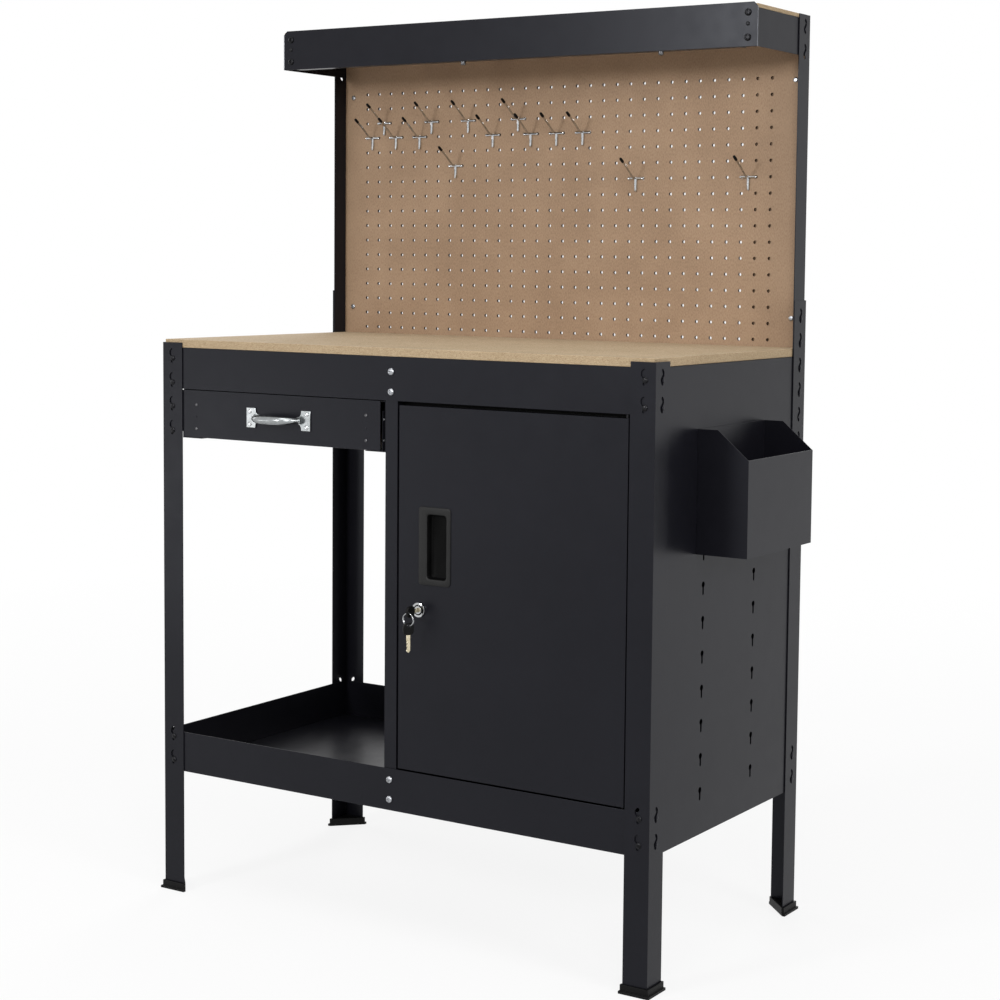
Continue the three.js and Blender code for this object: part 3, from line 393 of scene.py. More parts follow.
def add_object(name, data):
    """Puts a mesh, a lamp or a camera into the scene."""
    made = bpy.data.objects.new(name, data)
    bpy.context.scene.collection.objects.link(made)
    return made


def piece(name, bm, material, body, sharp_deg=35):
    """Makes a bmesh a piece that rides on a body."""
    bmesh.ops.recalc_face_normals(bm, faces=bm.faces)
    mesh = bpy.data.meshes.new(name)
    bm.to_mesh(mesh)
    bm.free()
    mesh.shade_smooth()
    mesh.set_sharp_from_angle(angle=math.radians(sharp_deg))
    mesh.materials.append(material)
    made = add_object(name, mesh)
    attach(made, body)
    return made


def soften(obj, width, segments=2, angle_deg=40):
    """Rounds the sharp edges of an object."""
    bevel = obj.modifiers.new("edge", "BEVEL")
    bevel.width = width
    bevel.segments = segments
    bevel.limit_method = "ANGLE"
    bevel.angle_limit = math.radians(angle_deg)


# Materials

def add_node(tree, kind, inputs=None, **settings):
    """A shader node with its settings. An input is linked where it is given a socket, and set otherwise."""
    node = tree.nodes.new("ShaderNode" + kind)
    for key, value in settings.items():
        setattr(node, key, value)
    for key, value in (inputs or {}).items():
        if isinstance(value, bpy.types.NodeSocket):
            tree.links.new(value, node.inputs[key])
        else:
            node.inputs[key].default_value = value
    return node


class Look:
    """A Principled material and its texture nodes, in the piece's own metres."""

    def __init__(self, name, sockets):
        self.material = bpy.data.materials.new(name)
        self.material.use_nodes = True
        self.tree = self.material.node_tree
        self.shader = self.tree.nodes["Principled BSDF"]
        self.place = self.add("TexCoord").outputs["Object"]
        for socket, value in sockets.items():
            self.shader.inputs[socket].default_value = value

    def add(self, kind, inputs=None, **settings):
        return add_node(self.tree, kind, inputs, **settings)

    def stretched(self, scale):
        """The place, with another scale along each axis."""
        return self.add("Mapping", {"Vector": self.place, "Scale": scale}).outputs["Vector"]

    def noise(self, scale, detail, place=None):
        inputs = {"Vector": place or self.place, "Scale": scale, "Detail": detail}
        return self.add("TexNoise", inputs).outputs["Fac"]

    def cells(self, scale, place=None):
        """A grey of its own for each cell."""
        inputs = {"Vector": place or self.place, "Scale": scale}
        colour = self.add("TexVoronoi", inputs).outputs["Color"]
        return self.add("RGBToBW", {"Color": colour}).outputs["Val"]

    def ramp(self, share, stops):
        node = self.add("ValToRGB", {"Fac": share})
        elements = node.color_ramp.elements
        while len(elements) < len(stops):
            elements.new(0.5)
        for element, (at, colour) in zip(elements, stops):
            element.position = at
            element.color = (*colour, 1)
        return node.outputs["Color"]

    def multiply(self, first, second):
        """Two colours times each other. The Mix node's colours are its sockets 6 and 7, and output 2."""
        inputs = {0: 1.0, 6: first, 7: second}
        return self.add("Mix", inputs, data_type="RGBA", blend_type="MULTIPLY").outputs[2]

    def span(self, value, low, high, start=0.3, end=0.7):
        """A value between start and end, brought to the span from low to high."""
        inputs = {"Value": value, "From Min": start, "From Max": end, "To Min": low, "To Max": high}
        return self.add("MapRange", inputs).outputs["Result"]

    def bump(self, height, strength, distance):
        inputs = {"Height": height, "Strength": strength, "Distance": distance}
        self.wire("Normal", self.add("Bump", inputs).outputs["Normal"])

    def wire(self, socket, output):
        self.tree.links.new(output, self.shader.inputs[socket])


def powder_coat(name, dark, light, shine):
    """Satin black powder coat: a fine orange peel and slow changes of tone and gloss."""
    look = Look(name, {"Specular IOR Level": shine, "Specular Tint": (0.90, 0.93, 1.0, 1)})
    slow = look.noise(scale=5.0, detail=4.0)
    look.wire("Base Color", look.ramp(slow, [(0.3, dark), (0.7, light)]))
    peel = look.noise(scale=520.0, detail=3.0)
    look.wire("Roughness", look.span(look.noise(scale=38.0, detail=3.0), 0.29, 0.34))
    look.bump(peel, strength=0.16, distance=0.0004)
    return look.material


def particle_board(name):
    """Sanded particle board: pale flakes pressed flat, darker chips between them and darker sawn edges."""
    look = Look(name, {"Specular IOR Level": 0.3})
    flat = look.stretched((1.0, 1.0, 2.6))
    flakes = look.cells(420.0, flat)
    chips = look.noise(scale=900.0, detail=4.0, place=flat)
    drift = look.noise(scale=9.0, detail=3.0)
    tone = look.ramp(flakes, [
        (0.0, (0.39, 0.285, 0.175)), (0.35, (0.515, 0.405, 0.27)), (1.0, (0.61, 0.50, 0.35))])
    grain = look.ramp(chips, [(0.36, (0.72, 0.66, 0.60)), (0.56, (1.0, 1.0, 1.0))])
    shade = look.ramp(drift, [(0.3, (0.90, 0.89, 0.87)), (0.7, (1.0, 1.0, 1.0))])
    upright = look.add("SeparateXYZ", {"Vector": look.add("NewGeometry").outputs["Normal"]}).outputs["Z"]
    sawn = look.ramp(upright, [(0.2, (0.80, 0.77, 0.72)), (0.8, (1.0, 1.0, 1.0))])
    colour = look.multiply(look.multiply(tone, grain), shade)
    look.wire("Base Color", look.multiply(colour, sawn))
    look.wire("Roughness", look.span(chips, 0.6, 0.78))
    look.bump(chips, strength=0.25, distance=0.0003)
    return look.material


def hardboard(name, dark, light):
    """Smooth brown hardboard with pressed fibres."""
    look = Look(name, {"Specular IOR Level": 0.35})
    fibre = look.noise(scale=750.0, detail=5.0, place=look.stretched((1.0, 1.0, 0.35)))
    cloud = look.noise(scale=14.0, detail=4.0)
    tone = look.ramp(cloud, [(0.3, dark), (0.7, light)])
    flecks = look.ramp(fibre, [(0.34, (0.80, 0.77, 0.74)), (0.6, (1.04, 1.03, 1.02))])
    look.wire("Base Color", look.multiply(tone, flecks))
    look.wire("Roughness", look.span(fibre, 0.52, 0.66))
    look.bump(fibre, strength=0.12, distance=0.0002)
    return look.material


def plated(name, dark, light, rough, spangle):
    """Plated metal with a faint crystal pattern and small changes of gloss."""
    look = Look(name, {"Metallic": 1.0})
    look.wire("Base Color", look.ramp(look.cells(spangle), [(0.2, dark), (0.8, light)]))
    look.wire("Roughness", look.span(look.noise(scale=260.0, detail=3.0), *rough))
    look.bump(look.noise(scale=900.0, detail=2.0), strength=0.05, distance=0.0002)
    return look.material


def plastic(name, dark, light, shine):
    """Moulded black plastic with a fine stipple."""
    look = Look(name, {"Specular IOR Level": shine})
    cloud = look.noise(scale=30.0, detail=3.0)
    look.wire("Base Color", look.ramp(cloud, [(0.3, dark), (0.7, light)]))
    stipple = look.noise(scale=1500.0, detail=2.0)
    look.wire("Roughness", look.span(stipple, 0.42, 0.56))
    look.bump(stipple, strength=0.18, distance=0.0002)
    return look.material


COAT = powder_coat("powder_coat_black", (0.0056, 0.0055, 0.0078), (0.0068, 0.0067, 0.0094), 0.16)
# A lighter, glossier copy of the coat: a painted highlight along the fascia's hems
COAT_PAINTED_HIGHLIGHT = powder_coat("powder_coat_painted_highlight", (0.010, 0.010, 0.012), (0.014, 0.014, 0.016), 0.9)
BOARD = particle_board("particle_board_tan")
PEG = hardboard("hardboard_brown", (0.308, 0.205, 0.128), (0.364, 0.248, 0.158))
# Dark brown of cut hardboard: partly the cut's own colour, partly painted shade on the hole walls
PEG_CUT_AND_SHADE = hardboard("hardboard_cut_and_painted_shade", (0.050, 0.030, 0.018), (0.075, 0.046, 0.028))
ZINC = plated("zinc_plate", (0.30, 0.31, 0.33), (0.42, 0.43, 0.45), (0.24, 0.34), 420.0)
CHROME = plated("chrome_plate", (0.46, 0.47, 0.48), (0.58, 0.59, 0.60), (0.06, 0.12), 300.0)
NICKEL = plated("nickel_brass", (0.60, 0.53, 0.36), (0.78, 0.70, 0.52), (0.22, 0.34), 500.0)
HANDLE_ZINC = plated("zinc_smooth", (0.29, 0.305, 0.31), (0.34, 0.355, 0.36), (0.20, 0.26), 140.0)
DULL_ZINC = plated("zinc_dull", (0.09, 0.09, 0.095), (0.15, 0.15, 0.155), (0.26, 0.36), 420.0)
BLACK_STEEL = plated("black_steel", (0.012, 0.012, 0.013), (0.022, 0.022, 0.024), (0.26, 0.38), 400.0)
PLASTIC = plastic("black_plastic", (0.0065, 0.0065, 0.0065), (0.0095, 0.0095, 0.0095), 0.21)
DARK_PLASTIC = plastic("dark_plastic", (0.002, 0.002, 0.002), (0.004, 0.004, 0.004), 0.12)
# Darkest, dullest plastic: painted shade, inside the pull's recess and on the strip seen through the gap
# above the door
PAINTED_SHADE_PLASTIC = plastic("painted_shade_plastic", (0.0015, 0.0015, 0.0015), (0.003, 0.003, 0.003), 0.05)


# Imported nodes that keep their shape: the finish and the edge radius of each slot

NODE_LOOKS = {
    "powder_coat": (COAT, 0.0006),
    "black_plastic": (DARK_PLASTIC, 0.0009),
    "particle_board": (BOARD, 0.0008),
    "hardboard": (PEG, 0.0004),
    "zinc": (ZINC, 0.0004),
    "chrome": (CHROME, 0.0005),
    "black_steel": (BLACK_STEEL, 0.0004),
}


def dress_nodes():
    """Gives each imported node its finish, and rounds its sharp edges."""
    for row in frame["record"]["subparts"]:
        node = NODES[row["node"]]
        material, width = NODE_LOOKS[row["material_slot"]]
        node.data.materials.clear()
        node.data.materials.append(material)
        weld = node.modifiers.new("weld", "WELD")
        weld.merge_threshold = WELD_DISTANCE
        flatten = node.modifiers.new("flat_faces", "DECIMATE")
        flatten.decimate_type = "DISSOLVE"
        flatten.angle_limit = math.radians(FLAT_DEG)
        soften(node, width)


# Pegboard

def peg_place(column, row):
    """The middle of a peg hole on the board's front face. Rows count up from the worktop."""
    low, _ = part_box("pegboard")
    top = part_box("worktop")[1].z
    x = low.x + PEG_LEFT_MARGIN + column * PEG_PITCH
    return Vector((x, low.y, top + PEG_LOW_MARGIN + row * PEG_PITCH))


def make_pegboard():
    """A sheet of square cells, each with a round hole, bordered by plain strips."""
    low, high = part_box("pegboard")
    bm = bmesh.new()
    half = PEG_PITCH / 2
    turn = 2 * math.pi / PEG_SIDES
    quarter, eighth = PEG_SIDES // 4, PEG_SIDES // 8
    known = {}

    def vert(x, z):
        key = (round(x, 6), round(z, 6))
        if key not in known:
            known[key] = bm.verts.new((x, low.y, z))
        return known[key]

    def rim(centre, k):
        c, s = math.cos(k * turn), math.sin(k * turn)
        reach = half / max(abs(c), abs(s))
        return vert(centre.x + reach * c, centre.z + reach * s)

    def side(centre, first):
        return [rim(centre, first + k) for k in range(quarter + 1)]

    for column in range(PEG_COLUMNS):
        for row in range(PEG_ROWS):
            centre = peg_place(column, row)
            hole = [
                vert(centre.x + PEG_HOLE_R * math.cos(k * turn), centre.z + PEG_HOLE_R * math.sin(k * turn))
                for k in range(PEG_SIDES)
            ]
            for k in range(PEG_SIDES):
                m = (k + 1) % PEG_SIDES
                bm.faces.new((hole[k], rim(centre, k), rim(centre, k + 1), hole[m]))
            left, right = centre.x - half, centre.x + half
            under, over = centre.z - half, centre.z + half
            if column == 0:
                bm.faces.new([vert(low.x, over), *side(centre, 3 * eighth), vert(low.x, under)])
            if column == PEG_COLUMNS - 1:
                bm.faces.new([vert(high.x, under), *side(centre, -eighth), vert(high.x, over)])
            if row == 0:
                bm.faces.new([vert(left, low.z), *side(centre, 5 * eighth), vert(right, low.z)])
            if row == PEG_ROWS - 1:
                bm.faces.new([vert(right, high.z), *side(centre, eighth), vert(left, high.z)])
    first, last = peg_place(0, 0), peg_place(PEG_COLUMNS - 1, PEG_ROWS - 1)
    for edge_x, cell_x in ((low.x, first.x - half), (high.x, last.x + half)):
        for edge_z, cell_z in ((low.z, first.z - half), (high.z, last.z + half)):
            corner = [(edge_x, edge_z), (cell_x, edge_z), (cell_x, cell_z), (edge_x, cell_z)]
            bm.faces.new([vert(x, z) for x, z in corner])
    for face in bm.faces:
        face.normal_update()
        if face.normal.y > 0:
            face.normal_flip()
    mesh = bpy.data.meshes.new("pegboard_sheet")
    bm.to_mesh(mesh)
    bm.free()
    mesh.materials.append(PEG)
    mesh.materials.append(PEG_CUT_AND_SHADE)
    board = add_object("pegboard_sheet", mesh)
    thick = board.modifiers.new("thickness", "SOLIDIFY")
    thick.thickness = high.y - low.y
    thick.offset = -1
    # The rim faces, the hole walls and the board's edges, take the dark cut brown: partly the cut's own
    # colour, partly painted shade in the holes
    thick.material_offset_rim = 1
    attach(board, "frame")
    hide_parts("pegboard")


def make_back_strip():
    """A strip of hardboard behind the last two columns of holes, beside the right post."""
    board_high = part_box("pegboard")[1]
    between_last = PEG_COLUMNS - 1.5
    strip = rounded_rectangle(
        peg_place(between_last, 0).x - BACK_STRIP_SIDE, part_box("post_right")[0].x - BACK_STRIP_GAP,
        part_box("worktop")[1].z, board_high.z - BACK_STRIP_DROP, BACK_STRIP_CORNER_R,
        board_high.y + BACK_STRIP_GAP)
    bm = bmesh.new()
    prism(bm, strip, Y * BACK_STRIP_THICK)
    piece("pegboard_back_strip", bm, PEG, "frame")


def make_hook(name, column, row):
    """A double-pin wire hook: a bar across two holes, a stem below it and an arm with a soft tip."""
    middle = peg_place(column, row) - Y * HOOK_BAR_R
    bm = bmesh.new()
    half = X * (PEG_PITCH / 2)
    inside = Y * (HOOK_BAR_R + HOOK_PIN_DEPTH)
    bar = [middle - half + inside, middle - half, middle + half, middle + half + inside]
    for start, end in zip(bar, bar[1:]):
        rod(bm, start, end, HOOK_BAR_R, HOOK_SIDES)
    for corner in bar[1:3]:
        lathe(bm, corner - Y * HOOK_BAR_R, Y, HOOK_CORNER, HOOK_SIDES)
    foot = middle - Z * HOOK_STEM

    def stem_radius(t):
        return HOOK_STEM_R * HOOK_STEM_TIP_SHARE if t == 1 else HOOK_STEM_R

    stem = [middle + Z * HOOK_STEM_RISE, foot + Z * HOOK_STEM_TAPER, foot]
    tube(bm, stem, stem_radius, HOOK_SIDES)
    path = smooth_path([middle - Y * out + Z * up for out, up in HOOK_ARM], HOOK_ARM_STEPS)
    tube(bm, path, lambda t: HOOK_WIRE_R, HOOK_SIDES)
    piece(name, bm, CHROME, "frame")
    heading = (path[-1] - path[-3]).normalized()
    cap = bmesh.new()
    lathe(cap, path[-1] - heading * HOOK_CAP_LAP, heading, HOOK_CAP, HOOK_CAP_SIDES)
    piece(name + "_tip", cap, DARK_PLASTIC, "frame")


def make_hooks():
    """All the hooks, numbered as they are listed."""
    for i, (column, row) in enumerate(HOOKS):
        make_hook(f"hook_{i + 1}", column, row)


# Fasteners

def rivet(bm, at, axis, radius, high):
    """A domed rivet head."""
    lathe(bm, at, axis, [(radius * r, high * h) for r, h in RIVET_PROFILE], RIVET_SIDES)


def cross_ring(centre, u, v, arm, core, count):
    """A plus-shaped ring, for the recess of a cross-head screw."""
    quarter = count // 4
    ring = []
    for k in range(count):
        near = min(k % quarter, quarter - k % quarter)
        radius = arm if near <= 1 else core
        angle = 2 * math.pi * k / count
        ring.append(centre + u * (radius * math.cos(angle)) + v * (radius * math.sin(angle)))
    return ring


def screw(bm, at, axis, radius, high):
    """A pan-head screw with a cross recess."""
    u, v = cross_frame(axis)
    rings = [circle(at + axis * (high * h), u, v, radius * r, SCREW_SIDES) for r, h in SCREW_PROFILE]
    for level in RECESS_LEVELS:
        centre = at + axis * (high * level)
        rings.append(cross_ring(centre, u, v, radius * RECESS_ARM, radius * RECESS_CORE, SCREW_SIDES))
    loft(bm, rings)


def fasteners(name, head, places, axis, size, material, body):
    """One piece of equal rivets or screws; size is their radius and height."""
    bm = bmesh.new()
    for at in places:
        head(bm, Vector(at), axis, *size)
    piece(name, bm, material, body)


def make_post_bolts():
    """Cross-head bolts on the middle post stand for the plain ones."""
    for i in range(1, BOLT_COUNT + 1):
        node = f"post_bolt_{i}"
        low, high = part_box(node)
        radius = (high.x - low.x) / 2
        at = Vector(((low.x + high.x) / 2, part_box("apron_front")[0].y, (low.z + high.z) / 2))
        bm = bmesh.new()
        screw(bm, at, -Y, radius, at.y - low.y)
        length = high.y - at.y - BOLT_SHANK_START
        shank = [(BOLT_SHANK_R, 0.0), (BOLT_SHANK_R, length - BOLT_CHAMFER), (BOLT_TIP_R, length)]
        lathe(bm, at + Y * BOLT_SHANK_START, Y, shank, BOLT_SIDES)
        bolt = piece(f"post_bolt_{i}_head", bm, ZINC, "frame")
        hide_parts(node)


def make_slot_rivets():
    """Each beam, runner and post hangs by a rivet at the lower lobe of a slot."""
    both = UPPER_ROWS + LOWER_ROWS
    legs = [
        ("leg_front_left", -1, -1, both + RUNNER_ROWS, both),
        ("leg_front_right", 1, -1, both, both),
        ("leg_rear_left", -1, 1, both + POST_ROWS + RUNNER_ROWS, both + POST_ROWS),
        ("leg_rear_right", 1, 1, both + POST_ROWS, both + POST_ROWS),
    ]
    for node, side, back, face_rows, side_rows in legs:
        low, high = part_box(node)
        face_y = low.y if back < 0 else high.y
        side_x = low.x if side < 0 else high.x
        slot_x = side_x - side * SLOT_INSET
        slot_y = face_y - back * SLOT_INSET
        across, down = FACE_RIVET_AT
        places = [(slot_x + across, face_y, SLOT_TOP_Z - row * SLOT_PITCH + down) for row in face_rows]
        name = "rivets_face_" + node
        fasteners(name, rivet, places, Y * back, FACE_RIVET, BLACK_STEEL, "frame")
        across, down = SIDE_RIVET_AT
        places = [(side_x, slot_y - across, SLOT_TOP_Z - row * SLOT_PITCH + down) for row in side_rows]
        name = "rivets_side_" + node
        fasteners(name, rivet, places, X * side, SIDE_RIVET, COAT, "frame")


def make_shelf_fasteners():
    """Screws and rivets at the fascia's ends, the hems there in a lighter, glossier coat as a painted
    highlight, and the nuts under its lip.
    """
    low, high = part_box("shelf_fascia")
    columns = (low.x + SHELF_SCREW_INSET, high.x - SHELF_SCREW_INSET)
    rows = (low.z + SHELF_SCREW_LOW, high.z - SHELF_SCREW_HIGH)
    places = [(x, low.y, z) for x in columns for z in rows]
    fasteners("shelf_screws", screw, places, -Y, SHELF_SCREW, BLACK_STEEL, "frame")
    places = [(x, low.y, low.z + SHELF_RIVET_UP) for x in columns]
    fasteners("shelf_rivets", rivet, places, -Y, SHELF_RIVET, BLACK_STEEL, "frame")

    bm = bmesh.new()
    for x in (low.x, high.x):
        start, end = [Vector((x, low.y + HEM_BACK, z)) for z in (low.z, high.z - HEM_TOP_DROP)]
        rod(bm, start, end, HEM_R, HEM_SIDES)
    piece("shelf_hems_painted_highlight", bm, COAT_PAINTED_HIGHLIGHT, "frame")

    bm = bmesh.new()
    for x in LIP_NUT_X:
        lathe(bm, Vector((x, low.y + LIP_NUT_BACK, low.z)), -Z, LIP_NUT_PROFILE, LIP_NUT_SIDES)
    piece("shelf_lip_nuts", bm, DULL_ZINC, "frame")


def make_pegboard_screws():
    """A screw near each corner of the pegboard."""
    low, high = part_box("pegboard")
    places = [
        (x, low.y, z)
        for x in (low.x + PEG_SCREW_INSET, high.x - PEG_SCREW_INSET) for z in PEG_SCREW_Z
    ]
    fasteners("pegboard_screws", screw, places, -Y, PEG_SCREW, ZINC, "frame")


def make_drawer_fasteners():
    """Screws and rivets of the drawer front, and the screws that show on the drawer's right side."""
    low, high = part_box("drawer_front")
    columns = (low.x + DRAWER_SCREW_INSET, high.x - DRAWER_SCREW_INSET)
    places = [(x, low.y, z) for x in columns for z in DRAWER_SCREW_Z]
    fasteners("drawer_screws", screw, places, -Y, DRAWER_SCREW, DULL_ZINC, "drawer")
    places = [(x, low.y, DRAWER_RIVET_Z) for x in columns]
    fasteners("drawer_rivets", rivet, places, -Y, DRAWER_RIVET, COAT, "drawer")
    side_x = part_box("drawer_side_right")[1].x
    places = [(side_x, high.y + SIDE_SCREW_BACK, z) for z in SIDE_SCREW_Z]
    fasteners("drawer_side_screws", screw, places, X, SIDE_SCREW, ZINC, "drawer")


# Door pull, handle, folds and lock

def make_pull():
    """A moulded frame with soft edges round a deep recess, whose inside is darker as painted shade."""
    low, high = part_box("door_pull")
    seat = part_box("door")[0].y - PULL_SEAT
    floor = high.y - PULL_CUP_WALL

    def outline(inset, y):
        radius = max(PULL_CORNER_R - inset, PULL_LEAST_CORNER_R)
        return rounded_rectangle(low.x + inset, high.x - inset, low.z + inset, high.z - inset, radius, y)

    def recess(grow, y):
        return rounded_rectangle(
            low.x + PULL_RIM_LEFT - grow, high.x - PULL_RIM_RIGHT + grow,
            low.z + PULL_RIM_BOTTOM - grow, high.z - PULL_RIM_TOP + grow, PULL_CORNER_R, y)

    bm = bmesh.new()
    loft(bm, [
        recess(PULL_CUP_WALL, high.y), recess(PULL_CUP_WALL, seat), outline(0.0, seat),
        *[outline(inset, low.y + deep) for inset, deep in PULL_OUTER_EDGE],
        *[recess(grow, low.y + deep) for grow, deep in PULL_INNER_EDGE],
        *[recess(grow, floor - up) for grow, up in PULL_FLOOR_EDGE],
    ])
    pull = piece("door_pull_frame", bm, PLASTIC, "door", PULL_SHARP_DEG)
    # Faces deeper than the cup's start take the darker plastic: painted shade inside the recess
    pull.data.materials.append(PAINTED_SHADE_PLASTIC)
    for polygon in pull.data.polygons:
        polygon.material_index = int(polygon.center.y > low.y + PULL_CUP_START)
    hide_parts("door_pull")


def handle_plate(outer_x, side, middle_z, half, seat):
    """One end plate's outline: two ears that sweep into a neck under the bow."""
    ear = outer_x - side * HANDLE_EAR
    inner = outer_x - side * HANDLE_PLATE
    sweep = []
    for k in range(HANDLE_NECK_STEPS + 1):
        t = k / HANDLE_NECK_STEPS
        a, b, c = (1 - t) ** 2, 2 * t * (1 - t), t ** 2
        sweep.append(((a + b) * ear + c * inner, a * half + (b + c) * HANDLE_NECK_HALF))
    points = [(outer_x, half), *sweep, *[(x, -z) for x, z in reversed(sweep)], (outer_x, -half)]
    return [Vector((x, seat, middle_z + z)) for x, z in points]


def make_handle():
    """A bow of swelling section between two eared plates, each held by two screws."""
    low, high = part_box("drawer_handle")
    seat = high.y
    middle = Vector(((low.x + high.x) / 2, seat, (low.z + high.z) / 2))
    ends = ((low.x, -1), (high.x, 1))
    bm = bmesh.new()
    for outer, side in ends:
        plate = handle_plate(outer, side, middle.z, (high.z - low.z) / 2, seat)
        prism(bm, plate, -Y * HANDLE_PLATE_THICK)
    plates = piece("handle_plates", bm, HANDLE_ZINC, "drawer")
    soften(plates, HANDLE_PLATE_EDGE)

    bm = bmesh.new()
    foot = (high.x - low.x) / 2 - HANDLE_PLATE + HANDLE_BOW_LAP
    deep = seat - low.y - HANDLE_MID_R
    half = [
        *[(foot + along, out) for along, out in HANDLE_FOOT],
        *[(foot + along, deep * share) for along, share in HANDLE_BEND],
    ]
    stations = [*[(-x, y) for x, y in half], (0.0, deep), *reversed(half)]
    path = smooth_path([middle + X * x - Y * y for x, y in stations], HANDLE_BOW_STEPS)

    def radius(t):
        swell = math.sin(math.pi * t) ** 2
        flare = max(0.0, 1 - min(t, 1 - t) / HANDLE_FLARE_SHARE)
        return HANDLE_END_R + (HANDLE_MID_R - HANDLE_END_R) * swell + HANDLE_FLARE_R * flare ** 2

    tube(bm, path, radius, HANDLE_BOW_SIDES, HANDLE_BOW_TALL)
    bow = piece("handle_bow", bm, HANDLE_ZINC, "drawer", HANDLE_SHARP_DEG)
    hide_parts("drawer_handle")

    places = [
        (outer - side * HANDLE_SCREW_INSET, seat - HANDLE_PLATE_THICK, middle.z + up)
        for outer, side in ends for up in (-HANDLE_SCREW_UP, HANDLE_SCREW_UP)
    ]
    fasteners("handle_screws", screw, places, -Y, HANDLE_SCREW, CHROME, "drawer")


def make_drawer_fold():
    """The folded upper edge behind the drawer front, curled up at its end, and the frame's tab beside it."""
    low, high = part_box("drawer_front")
    start, rear = low.x + FOLD_END_GAP, high.y + FOLD_GAP
    bm = bmesh.new()
    outline = [Vector((start, rear + back, high.z + up)) for back, up in FOLD_PROFILE]
    prism(bm, outline, X * (high.x - low.x - 2 * FOLD_END_GAP))
    piece("drawer_front_fold", bm, COAT, "drawer")

    apron_low, apron_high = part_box("apron_front")
    tab = rounded_rectangle(
        low.x - TAB_REACH, low.x - TAB_GAP, high.z - TAB_DROP, apron_low.z + TAB_LAP, TAB_CORNER_R,
        apron_high.y + TAB_GAP)
    bm = bmesh.new()
    prism(bm, tab, Y * TAB_THICK)
    piece("runner_tab", bm, COAT, "frame")


def make_door_stop():
    """A plastic strip behind the door's top edge, on the rear edge of the apron's lower flange. Its
    near-black, dull plastic is painted shade seen through the gap above the door.
    """
    apron_low, apron_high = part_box("apron_front")
    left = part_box("middle_post")[1].x + DOOR_STOP_GAP
    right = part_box("leg_front_right")[0].x + DOOR_STOP_TUCK
    strip = rounded_rectangle(
        left, right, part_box("door")[1].z - DOOR_STOP_LAP, apron_low.z + DOOR_STOP_SEAT, DOOR_STOP_CORNER_R,
        apron_high.y + DOOR_STOP_OFF)
    bm = bmesh.new()
    prism(bm, strip, Y * DOOR_STOP_THICK)
    piece("door_stop_painted_shade", bm, PAINTED_SHADE_PLASTIC, "frame")


def make_divider_foot():
    """A folded foot along the cabinet divider's lower edge, on the floor of the cabinet."""
    low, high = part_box("cabinet_divider")
    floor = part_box("lower_shelf")[1].z + FOOT_GAP
    wall = high.x + FOOT_GAP
    profile = [
        (0.0, 0.0), (FOOT_REACH, 0.0), (FOOT_REACH, FOOT_THICK), (FOOT_BEND, FOOT_THICK),
        (FOOT_THICK, FOOT_BEND), (FOOT_THICK, FOOT_TALL), (0.0, FOOT_TALL),
    ]
    bm = bmesh.new()
    prism(bm, [Vector((wall + x, low.y, floor + z)) for x, z in profile], Y * (high.y - low.y))
    piece("divider_foot", bm, COAT, "frame")


def make_lock_face():
    """A groove round the plug, on the face of the lock's barrel, in dark plastic as painted shade of the gap
    round the plug.
    """
    low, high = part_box("lock_barrel")
    middle = Vector(((low.x + high.x) / 2, low.y, (low.z + high.z) / 2))
    rings = [
        (GROOVE_INNER_R, -GROOVE_PROUD), (GROOVE_OUTER_R, -GROOVE_PROUD),
        (GROOVE_OUTER_R + GROOVE_LIP, 0.0), (GROOVE_OUTER_R, GROOVE_DEEP), (GROOVE_INNER_R, GROOVE_DEEP),
    ]
    bm = bmesh.new()
    loft(bm, [circle(middle + Y * at, X, Z, radius, GROOVE_SIDES) for radius, at in rings], loop=True)
    piece("lock_groove_painted_shade", bm, DARK_PLASTIC, "door")


# Keys

def blade_outline(bow_middle):
    """A blade's edge as way forward and across, with its cuts on one side."""
    wide = KEY_BLADE_WIDTH / 2
    start = bow_middle + KEY_BOW_R * KEY_BLADE_ROOT
    neck = bow_middle + KEY_BOW_R + KEY_NECK
    tip = neck + KEY_BLADE_LENGTH
    outline = [(start, -wide), (neck, -wide)]
    step = (KEY_BLADE_LENGTH - wide) / len(KEY_CUTS)
    for i, depth in enumerate(KEY_CUTS):
        outline += [(neck + step * (i + share), -wide + depth) for share in KEY_CUT_SPAN]
        outline.append((neck + step * (i + 1), -wide + KEY_CUT_PEAK))
    outline += [(tip, wide * share) for share in KEY_TIP_SPAN]
    return [*outline, (tip - wide, wide), (start, wide)]


def make_key(name, node, body, hole, forward, across):
    """A key with a moulded bow and a cut blade. forward runs from the bow's hole to the blade's tip."""
    thick = forward.cross(across)
    turn = 2 * math.pi / KEY_SIDES
    bow_middle = KEY_BOW_R / 2

    def at(u, v, w):
        return hole + forward * u + across * v + thick * w

    def bow_ring(grow, w):
        long, wide = KEY_BOW_SHARES
        ring = []
        for k in range(KEY_SIDES):
            c, s = math.cos(k * turn), math.sin(k * turn)
            square = (abs(c) ** KEY_BOW_POWER + abs(s) ** KEY_BOW_POWER) ** (-1 / KEY_BOW_POWER)
            radius = (KEY_BOW_R + grow) * square
            ring.append(at(bow_middle + radius * long * c, radius * wide * s, w))
        return ring

    def hole_ring(w):
        return [
            at(KEY_HOLE_R * math.cos(k * turn), KEY_HOLE_R * math.sin(k * turn), w)
            for k in range(KEY_SIDES)
        ]

    half = KEY_BOW_THICK / 2
    edge = [bow_ring(grow, half * share) for grow, share in KEY_BOW_EDGE]
    bm = bmesh.new()
    loft(bm, [hole_ring(-half), *edge, hole_ring(half)], loop=True)
    bow = piece(name + "_bow", bm, DARK_PLASTIC, body)

    flat = -KEY_BLADE_THICK / 2
    bm = bmesh.new()
    prism(bm, [at(u, v, flat) for u, v in blade_outline(bow_middle)], thick * KEY_BLADE_THICK)
    blade = piece(name + "_blade", bm, NICKEL, body)
    soften(blade, KEY_BLADE_EDGE)
    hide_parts(node)


